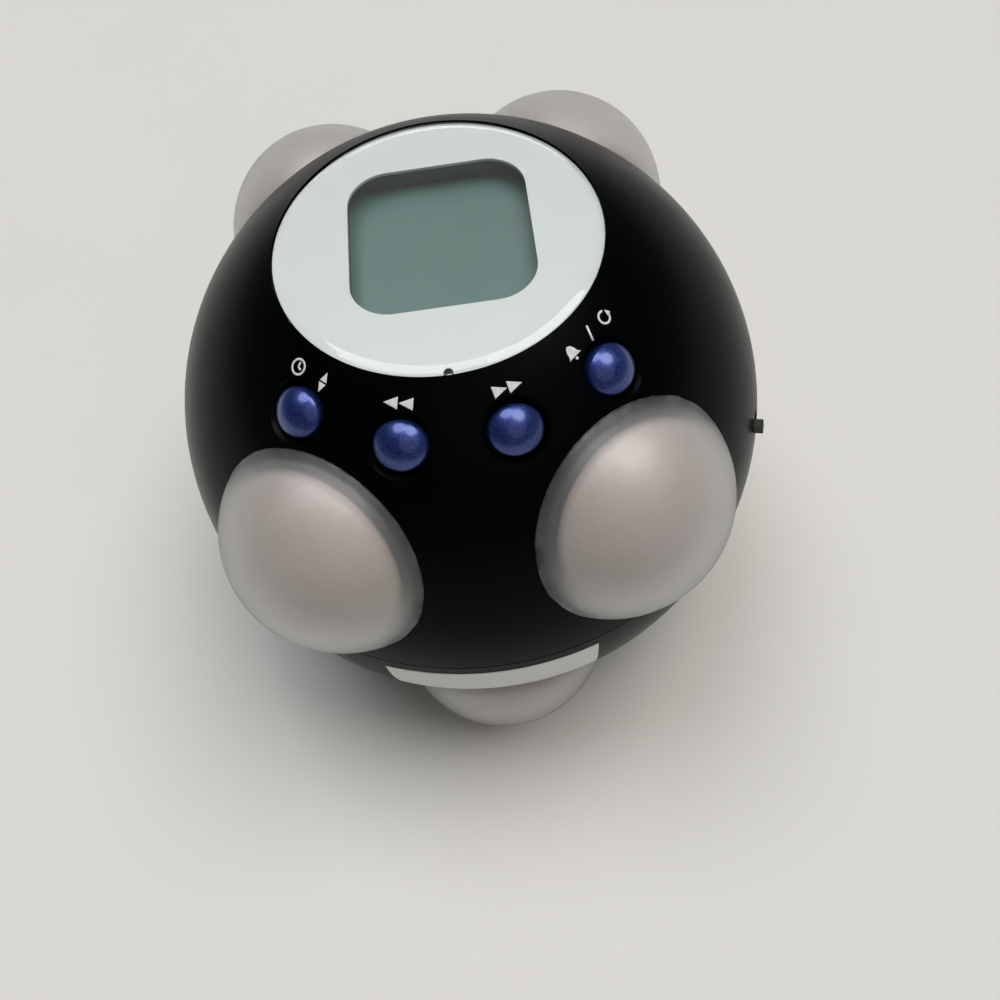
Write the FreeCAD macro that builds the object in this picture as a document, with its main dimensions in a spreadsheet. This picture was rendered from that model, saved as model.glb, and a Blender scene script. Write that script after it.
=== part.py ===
import FreeCAD, Part
import math
import os
import Sketcher
from FreeCAD import Placement, Rotation, Vector

# Ball-shaped alarm clock that stands and rolls on eight rubber bumper domes. Millimetres, +Z up, the display
# looks up and the buttons face -Y. The origin is on the table, under the middle of the ball. Lengths below
# are measured from the ball's centre unless a note says otherwise: "out" is the distance from that centre
# along a piece's own radial axis, and "up" is the height above it.

doc = FreeCAD.newDocument("BallAlarmClock")

# ---------------------------------------------------------------- driving dimensions

DIMENSIONS = [
    ("ball_radius", 55.0, "outer radius of the two shells"),
    ("shell_wall", 2.4, "wall of the shells"),
    ("stand_height", 45.0, "ball centre above the table"),
    ("seam_height", 4.1, "lower edge of the upper shell"),
    ("seam_gap", 0.3, "shadow gap between the shells"),
    ("tongue_height", 1.7, "lip of the lower shell inside the upper one"),
    ("tongue_radius", 53.3, "outer radius of that lip"),
    ("tongue_wall", 1.3, "thickness of that lip"),
    ("base_depth", 44.2, "flat base of the lower shell, below the centre"),
    ("base_bevel", 0.9, "bevel round the flat base"),
    ("dome_sphere", 20.45, "outer radius of a bumper dome"),
    ("dome_centre", 44.26, "centre of a dome's sphere, out"),
    ("dome_neck", 19.12, "radius of the neck that plugs into the shell"),
    ("dome_seat", 49.8, "foot of the dome, out"),
    ("dome_wall", 2.35, "rubber thickness"),
    ("dome_lip", 16.0, "inner radius of the dome's foot"),
    ("dome_lip_height", 1.2, "height of that foot"),
    ("socket_gap", 0.18, "clearance round the neck"),
    ("socket_ledge", 1.3, "thickness of the ledge under the dome"),
    ("socket_hole", 15.5, "opening in that ledge"),
    ("socket_rim", 20.6, "outer radius of a socket's inner wall"),
    ("cup_sphere", 17.9, "outer radius of the pearly glow cup"),
    ("cup_skirt", 15.3, "radius of the cup's skirt, where the pearl stops short of the dome's rim"),
    ("cup_wall", 1.2, "wall of the cup"),
    ("cup_flange", 16.4, "flange that holds the rubber foot down"),
    ("cup_flange_height", 0.7, "its thickness"),
    ("clamp_radius", 17.0, "outer radius of the clamp ring under the ledge"),
    ("led_board_radius", 14.0, "round board in the cup"),
    ("led_radius", 2.5, "light-emitting diode"),
    ("upper_dome_polar", 64.0, "upper domes, degrees down from the top"),
    ("upper_dome_turn", 33.4, "upper domes, degrees either side of front and back"),
    ("lower_dome_polar", 124.0, "lower domes, degrees down from the top"),
    ("lens_top", 48.5, "top of the lens, up"),
    ("lens_radius", 26.0, "lens"),
    ("lens_thickness", 1.6, "lens"),
    ("lens_bevel", 1.5, "width of the bevel round the lens"),
    ("lens_bevel_drop", 0.4, "fall of that bevel"),
    ("lens_gap", 0.2, "clearance round the lens"),
    ("lens_notch", 0.75, "radius of the notch at the front of the lens"),
    ("ring_thickness", 0.5, "printed face under the lens"),
    ("seat_radius", 22.8, "opening in the ledge under the face"),
    ("seat_thickness", 1.5, "that ledge"),
    ("window_width", 29.0, "opening in the face"),
    ("window_length", 29.6, "opening in the face, front to back"),
    ("window_corner", 6.6, "its corner radius"),
    ("window_right", 0.5, "its centre, right of the middle"),
    ("window_back", 1.6, "its centre, behind the middle"),
    ("frame_radius", 25.5, "display frame"),
    ("frame_bottom", 39.4, "underside of the frame's flange, up"),
    ("glass_size", 33.0, "square display glass"),
    ("glass_top", 42.9, "top of the display glass, up"),
    ("glass_thickness", 2.3, "display glass"),
    ("board_top", 35.6, "main board, up"),
    ("board_thickness", 1.6, "main board"),
    ("board_radius", 24.4, "main board"),
    ("button_polar", 38.8, "buttons, degrees down from the top"),
    ("inner_button_turn", 14.3, "middle two buttons, degrees from the front"),
    ("outer_button_turn", 43.4, "outer two buttons, degrees from the front"),
    ("button_width", 4.2, "half the width of an oval button cap, round the ball"),
    ("button_height", 3.75, "half its height, towards the display"),
    ("button_top", 56.3, "top of the cap's crown, out"),
    ("button_sphere", 5.6, "radius of the crown's sphere"),
    ("button_flange", 4.9, "flange behind the shell"),
    ("button_foot", 49.8, "underside of the button, out"),
    ("button_gap", 0.3, "clearance round the cap in the shell"),
    ("button_dish", 5.1, "radius of the bevel round the hole, on the ball's surface"),
    ("button_boss", 5.7, "outer radius of the wall round that hole"),
    ("key_board_out", 44.6, "outer face of the conical key board, out"),
    ("key_board_thickness", 1.1, "key board"),
    ("key_board_half", 5.2, "half its width"),
    ("key_post", 1.6, "radius of the posts that carry it"),
    ("key_post_turn", 28.7, "the outer posts, degrees from the front"),
    ("switch_polar", 78.8, "slide switch, degrees down from the top"),
    ("switch_turn", 70.6, "slide switch, degrees right of the front"),
    ("switch_travel", 2.0, "slide switch"),
    ("knob_length", 1.6, "tab of the slide switch, along its travel"),
    ("knob_width", 2.2, "tab, across its travel"),
    ("knob_top", 56.5, "tip of the tab, out"),
    ("speaker_polar", 68.0, "speaker, degrees down from the top"),
    ("speaker_turn", -100.0, "speaker, degrees from the front"),
    ("speaker_radius", 11.5, "speaker"),
    ("grille_hole", 0.75, "radius of a sound hole"),
    ("grille_pitch", 3.0, "spacing of the rings of sound holes"),
    ("cell_radius", 5.25, "AAA cell"),
    ("cell_length", 44.5, "AAA cell with its nub"),
    ("cell_pitch", 11.6, "spacing of the cells"),
    ("cell_depth", 36.4, "cell axes, below the centre"),
    ("tray_width", 38.6, "battery tray, outside"),
    ("tray_length", 52.2, "battery tray, outside"),
    ("tray_wall", 1.3, "battery tray"),
    ("tray_roof", 27.5, "top of the tray, below the centre"),
    ("door_width", 37.6, "battery door"),
    ("door_length", 50.6, "battery door"),
    ("door_thickness", 2.2, "battery door"),
    ("door_gap", 0.2, "clearance round the door"),
    ("door_tab_right", 23.0, "screw tab of the door, right of the middle"),
    ("door_tab_radius", 4.2, "screw tab"),
    ("door_tab_thickness", 1.2, "screw tab"),
    ("case_screw_place", 24.5, "case screws, right and back of the middle"),
    ("case_boss", 3.4, "radius of the bosses that take them"),
    ("case_shank", 1.15, "radius of a case screw"),
    ("case_head", 2.8, "radius of its head"),
    ("small_shank", 0.75, "radius of a small screw"),
    ("small_head", 1.6, "radius of its head"),
    ("small_pilot", 0.8, "radius of the hole that it cuts its thread in"),
    ("small_clearance", 1.1, "radius of a hole that it passes through"),
    ("gear_module", 0.6, "all four gears"),
    ("pinion_teeth", 10, "motor pinion"),
    ("wheel_teeth", 40, "large wheel of the reduction gear"),
    ("small_teeth", 12, "small wheel of the reduction gear"),
    ("output_teeth", 44, "output gear"),
    ("backlash", 0.1, "play between two gears at the pitch circle"),
    ("axle_radius", 1.5, "output axle"),
    ("cheek_inner", 9.5, "inner face of the drive frame's cheeks, right of the middle"),
    ("cheek_thickness", 2.0, "cheeks and base of the drive frame"),
    ("weight_radius", 23.5, "sweep of the unbalanced weight"),
    ("weight_hub", 5.0, "its hub"),
    ("weight_width", 15.0, "its thickness"),
    ("weight_angle", 150.0, "its sector, degrees"),
    ("motor_radius", 7.4, "motor can"),
    ("motor_length", 21.0, "motor can"),
    ("label_top", 88.7, "upper edge of the label, degrees down from the top"),
    ("label_bottom", 101.5, "its lower edge"),
    ("label_left", -21.0, "its left edge, degrees from the front"),
    ("label_right", 18.4, "its right edge"),
    ("label_thickness", 0.15, "label"),
]


class Size:
    """A number together with the spreadsheet expression that gives it."""

    def __init__(self, text, value):
        self.text = text
        self.value = value

    @staticmethod
    def of(item):
        return item if isinstance(item, Size) else Size(f"({float(item)!r})", float(item))

    def __add__(self, other):
        other = Size.of(other)
        return Size(f"({self.text} + {other.text})", self.value + other.value)

    def __sub__(self, other):
        other = Size.of(other)
        return Size(f"({self.text} - {other.text})", self.value - other.value)

    def __mul__(self, other):
        other = Size.of(other)
        return Size(f"({self.text} * {other.text})", self.value * other.value)

    def __truediv__(self, other):
        other = Size.of(other)
        return Size(f"({self.text} / {other.text})", self.value / other.value)

    def __neg__(self):
        return Size(f"(-1 * {self.text})", -self.value)

    def __radd__(self, other):
        return Size.of(other) + self

    def __rsub__(self, other):
        return Size.of(other) - self

    def __rmul__(self, other):
        return Size.of(other) * self

    def __float__(self):
        return float(self.value)


def other_side(hypotenuse, side):
    """The third side of a right triangle: where a sphere or circle stands at a given distance."""
    hypotenuse, side = Size.of(hypotenuse), Size.of(side)
    text = f"sqrt({hypotenuse.text} ^ 2 - {side.text} ^ 2)"
    return Size(text, math.sqrt(hypotenuse.value ** 2 - side.value ** 2))


sheet = doc.addObject("Spreadsheet::Sheet", "Dims")
sizes = {}
for row, (alias, number, note) in enumerate(DIMENSIONS, 1):
    sheet.set(f"A{row}", note)
    sheet.set(f"B{row}", str(number))
    sheet.setAlias(f"B{row}", alias)
    sizes[alias] = Size(f"Dims.{alias}", float(number))
doc.recompute()


def dim(alias):
    return sizes[alias]


# ---------------------------------------------------------------- helpers

nodes = []
ON_TABLE = Vector(0, 0, float(dim("stand_height")))


def node(item, label, placement=None):
    """Take an object as a finished sub-part: name it and put it in its place above the table."""
    place = placement or Placement()
    item.Label = label
    item.Placement = Placement(ON_TABLE, Rotation()).multiply(place)
    nodes.append(item)
    return item


def bind(item, **properties):
    for name, size in properties.items():
        size = Size.of(size)
        whole = isinstance(getattr(item, name), int)
        setattr(item, name, int(size.value) if whole else size.value)
        item.setExpression(name, size.text)


def radial(polar, turn, out=0.0):
    """Placement whose +Z points out of the ball, polar degrees from the top and turn degrees right of the
    front. Its +X runs round the ball to the right and its +Y runs up towards the display."""
    rotation = Rotation(Vector(0, 0, 1), float(turn)).multiply(Rotation(Vector(1, 0, 0), float(polar)))
    return Placement(rotation.multVec(Vector(0, 0, float(out))), rotation)


def shifted(place, x=0.0, y=0.0, z=0.0):
    """The same placement, moved along its own axes."""
    return place.multiply(Placement(Vector(float(x), float(y), float(z)), Rotation()))


def at(x=0.0, y=0.0, z=0.0):
    return Placement(Vector(float(x), float(y), float(z)), Rotation())


ALONG_X = Rotation(Vector(0, 1, 0), 90)
ALONG_Y = Rotation(Vector(1, 0, 0), -90)


def cylinder(name, radius, height, place=None):
    item = doc.addObject("Part::Cylinder", name)
    bind(item, Radius=radius, Height=height)
    item.Placement = place or Placement()
    return item


def cone(name, radius_1, radius_2, height, place=None):
    item = doc.addObject("Part::Cone", name)
    bind(item, Radius1=radius_1, Radius2=radius_2, Height=height)
    item.Placement = place or Placement()
    return item


def oval(name, half_width, half_height, thickness, place):
    """Elliptical disc, wide along the placement's X."""
    edge = doc.addObject("Part::Ellipse", f"{name}_edge")
    bind(edge, MajorRadius=half_width, MinorRadius=half_height)
    edge.Placement = place
    item = doc.addObject("Part::Extrusion", name)
    item.Base = edge
    item.DirMode = "Normal"
    item.Solid = True
    bind(item, LengthFwd=thickness)
    return item


def box(name, length, width, height, place=None, low=(-0.5, -0.5, 0.0)):
    """A block whose low corner is at those shares of its size from the placement: centred on X and Y."""
    item = doc.addObject("Part::Box", name)
    bind(item, Length=length, Width=width, Height=height)
    corner = [share * float(size) for share, size in zip(low, (length, width, height))]
    item.Placement = shifted(place or Placement(), *corner)
    return item


def fuse(name, items):
    item = doc.addObject("Part::MultiFuse", name)
    item.Shapes = list(items)
    return item


def cut(name, base, tool):
    item = doc.addObject("Part::Cut", name)
    item.Base = base
    item.Tool = tool
    return item


def group(name, items):
    """Separate solids that share one node."""
    item = doc.addObject("Part::Compound", name)
    item.Links = list(items)
    return item


def new_body(name):
    return doc.addObject("PartDesign::Body", name)


def sketch_on(body, role, name):
    """A sketch of the body's own, on one of its origin planes."""
    sketch = body.newObject("Sketcher::SketchObject", name)
    plane = next(f for f in body.Origin.OriginFeatures if f.Role == role)
    sketch.AttachmentSupport = [(plane, "")]
    sketch.MapMode = "FlatFace"
    return sketch


H_AXIS, V_AXIS = -1, -2
START, END, CENTRE = 1, 2, 3


def pin_coordinate(sketch, kind, axis, edge, point, size):
    """Dimension one coordinate of a sketch point from the origin, or put it on the axis when it is zero."""
    size = Size.of(size)
    if abs(size.value) < 1e-9:
        sketch.addConstraint(Sketcher.Constraint("PointOnObject", edge, point, axis))
        return
    index = sketch.addConstraint(Sketcher.Constraint(kind, H_AXIS, START, edge, point, size.value))
    sketch.setExpression(f"Constraints[{index}]", size.text)


def outline(sketch, corners, arcs=None):
    """Draw a closed outline. A corner is (x, y), or (x, y, "x") or (x, y, "y") where only that coordinate
    is dimensioned because an arc gives the other. arcs[i] = (centre_y, radius) makes the edge that leaves
    corner i an arc round a point on the sketch's vertical axis, counter-clockwise unless the radius is
    negative."""
    arcs = arcs or {}
    points = [Vector(float(c[0]), float(c[1]), 0) for c in corners]
    count = len(corners)
    starts = []
    for i, here in enumerate(points):
        there = points[(i + 1) % count]
        if i not in arcs:
            edge = sketch.addGeometry(Part.LineSegment(here, there), False)
            starts.append((edge, START, END))
            continue
        centre_y, radius = Size.of(arcs[i][0]), Size.of(arcs[i][1])
        backwards = radius.value < 0
        radius = -radius if backwards else radius
        middle = Vector(0, centre_y.value, 0)
        first, last = (there, here) if backwards else (here, there)
        angles = [math.atan2(p.y - middle.y, p.x - middle.x) for p in (first, last)]
        circle = Part.Circle(middle, Vector(0, 0, 1), radius.value)
        edge = sketch.addGeometry(Part.ArcOfCircle(circle, *angles), False)
        starts.append((edge, END, START) if backwards else (edge, START, END))
        pin_coordinate(sketch, "DistanceY", H_AXIS, edge, CENTRE, centre_y)
        sketch.addConstraint(Sketcher.Constraint("PointOnObject", edge, CENTRE, V_AXIS))
        index = sketch.addConstraint(Sketcher.Constraint("Radius", edge, radius.value))
        sketch.setExpression(f"Constraints[{index}]", radius.text)
    for i, (edge, start, end) in enumerate(starts):
        following, next_start, _ = starts[(i + 1) % count]
        sketch.addConstraint(Sketcher.Constraint("Coincident", edge, end, following, next_start))
        kept = corners[i][2] if len(corners[i]) > 2 else "xy"
        if "x" in kept:
            pin_coordinate(sketch, "DistanceX", V_AXIS, edge, start, corners[i][0])
        if "y" in kept:
            pin_coordinate(sketch, "DistanceY", H_AXIS, edge, start, corners[i][1])


def revolved(name, corners, arcs=None):
    """A body turned round Z from an outline in (radius, height)."""
    body = new_body(name)
    sketch = sketch_on(body, "XZ_Plane", f"{name}_profile")
    outline(sketch, corners, arcs)
    turn = body.newObject("PartDesign::Revolution", f"{name}_turn")
    turn.Profile = sketch
    turn.ReferenceAxis = (sketch, ["V_Axis"])
    turn.Angle = 360
    body.Tip = turn
    return body


def padded(name, corners, height, role="XY_Plane", arcs=None, midplane=False):
    """A body raised from an outline."""
    body = new_body(name)
    sketch = sketch_on(body, role, f"{name}_outline")
    outline(sketch, corners, arcs)
    pad = body.newObject("PartDesign::Pad", f"{name}_pad")
    pad.Profile = sketch
    bind(pad, Length=height)
    pad.Midplane = midplane
    body.Tip = pad
    return body


def rectangle(width, length, x=0.0, y=0.0):
    half_width, half_length = Size.of(width) / 2, Size.of(length) / 2
    x, y = Size.of(x), Size.of(y)
    return [(x - half_width, y - half_length), (x + half_width, y - half_length),
            (x + half_width, y + half_length), (x - half_width, y + half_length)]


def rounded_window(sketch, width, length, corner, x, y):
    """A rectangle with round corners, centred at x, y."""
    half_width, half_length, corner = Size.of(width) / 2, Size.of(length) / 2, Size.of(corner)
    edges = []
    for quarter in range(4):
        angle = math.radians(90 * quarter)
        sign_x, sign_y = ((1, 1), (-1, 1), (-1, -1), (1, -1))[quarter]
        centre_x = x + (half_width - corner) * sign_x
        centre_y = y + (half_length - corner) * sign_y
        circle = Part.Circle(Vector(centre_x.value, centre_y.value, 0), Vector(0, 0, 1), corner.value)
        arc = sketch.addGeometry(Part.ArcOfCircle(circle, angle, angle + math.pi / 2), False)
        pin_coordinate(sketch, "DistanceX", V_AXIS, arc, CENTRE, centre_x)
        pin_coordinate(sketch, "DistanceY", H_AXIS, arc, CENTRE, centre_y)
        index = sketch.addConstraint(Sketcher.Constraint("Radius", arc, corner.value))
        sketch.setExpression(f"Constraints[{index}]", corner.text)
        edges.append(arc)
    for quarter in range(4):
        this, following = edges[quarter], edges[(quarter + 1) % 4]
        ends = [sketch.getPoint(this, END), sketch.getPoint(following, START)]
        line = sketch.addGeometry(Part.LineSegment(*ends), False)
        sketch.addConstraint(Sketcher.Constraint("Tangent", this, END, line, START))
        sketch.addConstraint(Sketcher.Constraint("Tangent", line, END, following, START))


# ---------------------------------------------------------------- where the radial pieces stand

DOMES = {
    "upper_front_left": (dim("upper_dome_polar"), -float(dim("upper_dome_turn"))),
    "upper_front_right": (dim("upper_dome_polar"), float(dim("upper_dome_turn"))),
    "upper_back_left": (dim("upper_dome_polar"), float(dim("upper_dome_turn")) - 180),
    "upper_back_right": (dim("upper_dome_polar"), 180 - float(dim("upper_dome_turn"))),
    "lower_front": (dim("lower_dome_polar"), 0),
    "lower_right": (dim("lower_dome_polar"), 90),
    "lower_back": (dim("lower_dome_polar"), 180),
    "lower_left": (dim("lower_dome_polar"), -90),
}
BUTTONS = {
    "set": -float(dim("outer_button_turn")),
    "back": -float(dim("inner_button_turn")),
    "forward": float(dim("inner_button_turn")),
    "alarm": float(dim("outer_button_turn")),
}
POST_TURNS = (-float(dim("key_post_turn")), 0.0, float(dim("key_post_turn")))
CASE_CORNERS = [(sx * float(dim("case_screw_place")), sy * float(dim("case_screw_place")))
                for sx in (-1, 1) for sy in (-1, 1)]
SWITCH = radial(dim("switch_polar"), dim("switch_turn"))
SPEAKER = radial(dim("speaker_polar"), dim("speaker_turn"))
INNER_RADIUS = dim("ball_radius") - dim("shell_wall")
LEDGE_BOTTOM = dim("dome_seat") - dim("socket_ledge")
FACE_TOP = dim("lens_top") - dim("lens_thickness")
SEAT_TOP = FACE_TOP - dim("ring_thickness")
SEAT_BOTTOM = SEAT_TOP - dim("seat_thickness")
CASE_SEAT = -20.0  # the case screws' heads bear here, up
CASE_BOSS_TOP = 22.0  # top of the bosses that take them, up
PAST_SKIN = 8.0  # how far a cutter runs on past the surface that it has to clear
CLAMP_HEIGHT = 1.3  # clamp ring behind a dome's ledge


# ---------------------------------------------------------------- shells

def dome_blanks(names, tag):
    """Solid plugs behind the domes, from which the sockets are cut."""
    rim, height = dim("socket_rim"), INNER_RADIUS + 1.5 - LEDGE_BOTTOM
    return [cylinder(f"{tag}_{n}_blank", rim, height, radial(*DOMES[n], LEDGE_BOTTOM)) for n in names]


def dome_cutters(names, tag):
    """For each dome: the neck's pocket, the hole in the ledge, and room for the clamp ring under it."""
    tools = []
    for n in names:
        polar, turn = DOMES[n]
        pocket = dim("dome_neck") + dim("socket_gap")
        tools.append(cylinder(f"{tag}_{n}_pocket", pocket, PAST_SKIN, radial(polar, turn, dim("dome_seat"))))
        low = LEDGE_BOTTOM - 3
        tools.append(cylinder(f"{tag}_{n}_hole", dim("socket_hole"), PAST_SKIN, radial(polar, turn, low)))
        room = dim("clamp_radius") + 0.6
        tools.append(cylinder(f"{tag}_{n}_room", room, 3, radial(polar, turn, low)))
    return tools


def upper_shell():
    ball, seam = dim("ball_radius"), dim("seam_height")
    seat = dim("lens_radius") + dim("lens_gap")
    solid = revolved("upper_solid", [
        (0, seam),
        (other_side(ball, seam), seam, "y"),
        (seat, other_side(ball, seat), "x"),
        (seat, SEAT_TOP),
        (0, SEAT_TOP),
    ], {1: (0, ball)})
    rebate_top = seam + dim("tongue_height") + 0.6
    rebate = dim("tongue_radius") + 0.15
    void = revolved("upper_void", [
        (0, seam - 1),
        (rebate, seam - 1),
        (rebate, rebate_top),
        (other_side(INNER_RADIUS, rebate_top), rebate_top, "y"),
        (other_side(INNER_RADIUS, SEAT_BOTTOM), SEAT_BOTTOM, "y"),
        (0, SEAT_BOTTOM),
    ], {3: (0, INNER_RADIUS)})
    names = [n for n in DOMES if n.startswith("upper")]
    skin = INNER_RADIUS + 1
    blanks = dome_blanks(names, "upper")
    for name, turn in BUTTONS.items():
        low = dim("button_foot") + 1.1
        place = radial(dim("button_polar"), turn, low)
        blanks.append(cylinder(f"{name}_boss", dim("button_boss"), skin - low, place))
    for turn in POST_TURNS:
        low = dim("key_board_out")
        place = radial(dim("button_polar"), turn, low)
        blanks.append(cylinder("key_post", dim("key_post"), skin - low, place))
    for x, y in CASE_CORNERS:
        blanks.append(cylinder("case_boss", dim("case_boss"), CASE_BOSS_TOP - seam, at(x, y, seam)))
        low = rebate_top + 0.4
        place = at(x, y + math.copysign(1.5, y), low)
        outwards = math.copysign(0.5, x) - 0.5
        blanks.append(box("case_rib", 30, 1.2, CASE_BOSS_TOP - low, place, low=(outwards, -0.5, 0)))
    blanks.append(cylinder("speaker_ring", dim("speaker_radius") + 1.5, 5, shifted(SPEAKER, z=48)))
    blanks.append(box("switch_pad", 14.4, 7.0, 3, shifted(SWITCH, z=51.4)))
    hollow = cut("upper_hollow", void, fuse("upper_blanks", blanks))
    shell = cut("upper_walls", solid, hollow)

    tools = dome_cutters(names, "upper")
    skin_out = dim("ball_radius")
    for name, turn in BUTTONS.items():
        polar, gap, dish = dim("button_polar"), dim("button_gap"), dim("button_dish")
        half_width, half_height = dim("button_width") + gap, dim("button_height") + gap
        tools.append(oval(f"{name}_hole", half_width, half_height, 9, radial(polar, turn, 49)))
        low = other_side(skin_out, dish) - 1.2
        tools.append(cone(f"{name}_bevel", dish - 1.2, dish + 0.6, 1.8, radial(polar, turn, low)))
    for turn in POST_TURNS:
        place = radial(dim("button_polar"), turn, 44)
        tools.append(cylinder("key_post_pilot", dim("small_pilot"), 4.5, place))
    for x, y in CASE_CORNERS:
        tools.append(cylinder("case_pilot", dim("case_shank") + 0.05, 20, at(x, y, 0)))
    tools.append(cylinder("speaker_pocket", dim("speaker_radius") + 0.2, 8.4, shifted(SPEAKER, z=42.8)))
    for ring, count in enumerate((1, 6, 12)):
        for k in range(count):
            angle = 2 * math.pi * k / count
            reach = ring * float(dim("grille_pitch"))
            place = shifted(SPEAKER, reach * math.cos(angle), reach * math.sin(angle), 48)
            tools.append(cylinder("sound_hole", dim("grille_hole"), PAST_SKIN, place))
    slot = dim("knob_length") + dim("switch_travel") + 0.6
    tools.append(box("switch_slot", slot, dim("knob_width") + 0.6, PAST_SKIN, shifted(SWITCH, z=50)))
    tools.append(cylinder("seat_opening", dim("seat_radius"), 5, at(0, 0, SEAT_BOTTOM - 2)))
    for x, y in DISPLAY_SCREWS:
        tools.append(cylinder("seat_pilot", dim("small_pilot"), 2, at(x, y, SEAT_BOTTOM - 0.8)))
    return node(cut("upper_shell", shell, fuse("upper_cutters", tools)), "upper_shell")


def lower_shell():
    ball, top, base = dim("ball_radius"), dim("seam_height") - dim("seam_gap"), -dim("base_depth")
    bevel_top = base + dim("base_bevel")
    solid = revolved("lower_solid", [
        (0, base),
        (other_side(ball, base) - dim("base_bevel") / 2, base),
        (other_side(ball, bevel_top), bevel_top, "y"),
        (other_side(ball, top), top, "y"),
        (0, top),
    ], {2: (0, ball)})
    floor = base + dim("shell_wall")
    void = revolved("lower_void", [
        (0, floor),
        (other_side(INNER_RADIUS, floor), floor, "y"),
        (other_side(INNER_RADIUS, top), top, "y"),
        (0, top),
    ], {1: (0, INNER_RADIUS)})
    tongue_out, tongue_top = dim("tongue_radius"), dim("seam_height") + dim("tongue_height")
    tongue_in, tongue_low = tongue_out - dim("tongue_wall"), top - 1.5
    tongue = revolved("lower_tongue", [
        (tongue_in, tongue_low + 1),
        (tongue_out, tongue_low),
        (tongue_out, tongue_top),
        (tongue_in, tongue_top),
    ])
    room = dim("socket_rim") + 0.3
    uppers = [n for n in DOMES if n.startswith("upper")]
    rooms = [cylinder(f"lip_{n}_room", room, 14, radial(*DOMES[n], 46)) for n in uppers]
    lip = cut("lower_lip", tongue, fuse("lip_rooms", rooms))
    names = [n for n in DOMES if n.startswith("lower")]
    blanks = dome_blanks(names, "lower")
    for x, y in CASE_CORNERS:
        blanks.append(cylinder("case_well", 4.6, 50 + float(top), at(x, y, -50)))
    tab_right = dim("door_tab_right")
    blanks.append(cylinder("door_boss", 3.4, 9, at(tab_right, 0, floor - 1)))
    hollow = cut("lower_hollow", void, fuse("lower_blanks", blanks))
    shell = fuse("lower_walls_and_lip", [cut("lower_walls", solid, hollow), lip])

    tools = dome_cutters(names, "lower")
    for x, y in CASE_CORNERS:
        tools.append(cylinder("case_well_bore", dim("case_head") + 0.4, 60 + CASE_SEAT, at(x, y, -60)))
        tools.append(cylinder("case_shank_hole", 1.6, 30, at(x, y, CASE_SEAT - 1)))
    gap, width, length = dim("door_gap") * 2, dim("door_width"), dim("door_length")
    tools.append(box("door_opening", width + gap, length + gap, 5, at(0, 0, base - 1)))
    tab_radius, tab_depth = dim("door_tab_radius") + 0.3, dim("door_tab_thickness") + 0.1
    tools.append(cylinder("tab_recess", tab_radius, tab_depth + 1, at(tab_right, 0, base - 1)))
    tools.append(box("tab_neck", 10, tab_radius * 2, tab_depth + 1, at(tab_right - 5, 0, base - 1)))
    tools.append(cylinder("door_pilot", 1.3, 9, at(tab_right, 0, base + 0.5)))
    return node(cut("lower_shell", shell, fuse("lower_cutters", tools)), "lower_shell")


# ---------------------------------------------------------------- bumper domes and what shines through them

def bumper_dome(name, polar, turn):
    """Hollow rubber dome: a spherical cap on a straight neck, with a foot that turns in over the ledge."""
    outer, neck, seat = dim("dome_sphere"), dim("dome_neck"), dim("dome_seat")
    inner, centre = outer - dim("dome_wall"), dim("dome_centre")
    lip_top = seat + dim("dome_lip_height")
    rim = centre + other_side(outer, neck)
    body = revolved(f"{name}_rubber", [
        (dim("dome_lip"), seat),
        (neck, seat),
        (neck, rim, "x"),
        (0, centre + outer, "x"),
        (0, centre + inner, "x"),
        (other_side(inner, lip_top - centre), lip_top, "y"),
        (dim("dome_lip"), lip_top),
    ], {2: (centre, outer), 4: (centre, -inner)})
    place = radial(polar, turn)
    if name.startswith("upper"):
        return node(body, f"{name}_dome", place)
    body.Placement = place
    below = box(f"{name}_table", 200, 200, 10, at(0, 0, -dim("stand_height") - 10))
    return node(cut(f"{name}_on_table", body, below), f"{name}_dome")


def glow_cup(name, polar, turn):
    """Pearly cup that lines the dome. Its flange holds the rubber's foot down and its skirt stands in the
    ledge."""
    sphere, skirt, wall = dim("cup_sphere"), dim("cup_skirt"), dim("cup_wall")
    centre, low = dim("dome_centre"), LEDGE_BOTTOM - CLAMP_HEIGHT
    flange_low = dim("dome_seat") + dim("dome_lip_height")
    flange_top = flange_low + dim("cup_flange_height")
    body = revolved(f"{name}_cup_body", [
        (skirt - wall, low),
        (skirt, low),
        (skirt, flange_low),
        (dim("cup_flange"), flange_low),
        (dim("cup_flange"), flange_top),
        (skirt, flange_top),
        (skirt, centre + other_side(sphere, skirt), "x"),
        (0, centre + sphere, "x"),
        (0, centre + sphere - wall, "x"),
        (skirt - wall, centre + other_side(sphere - wall, skirt - wall), "x"),
    ], {6: (centre, sphere), 8: (centre, wall - sphere)})
    return node(body, f"{name}_glow_cup", radial(polar, turn))


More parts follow.
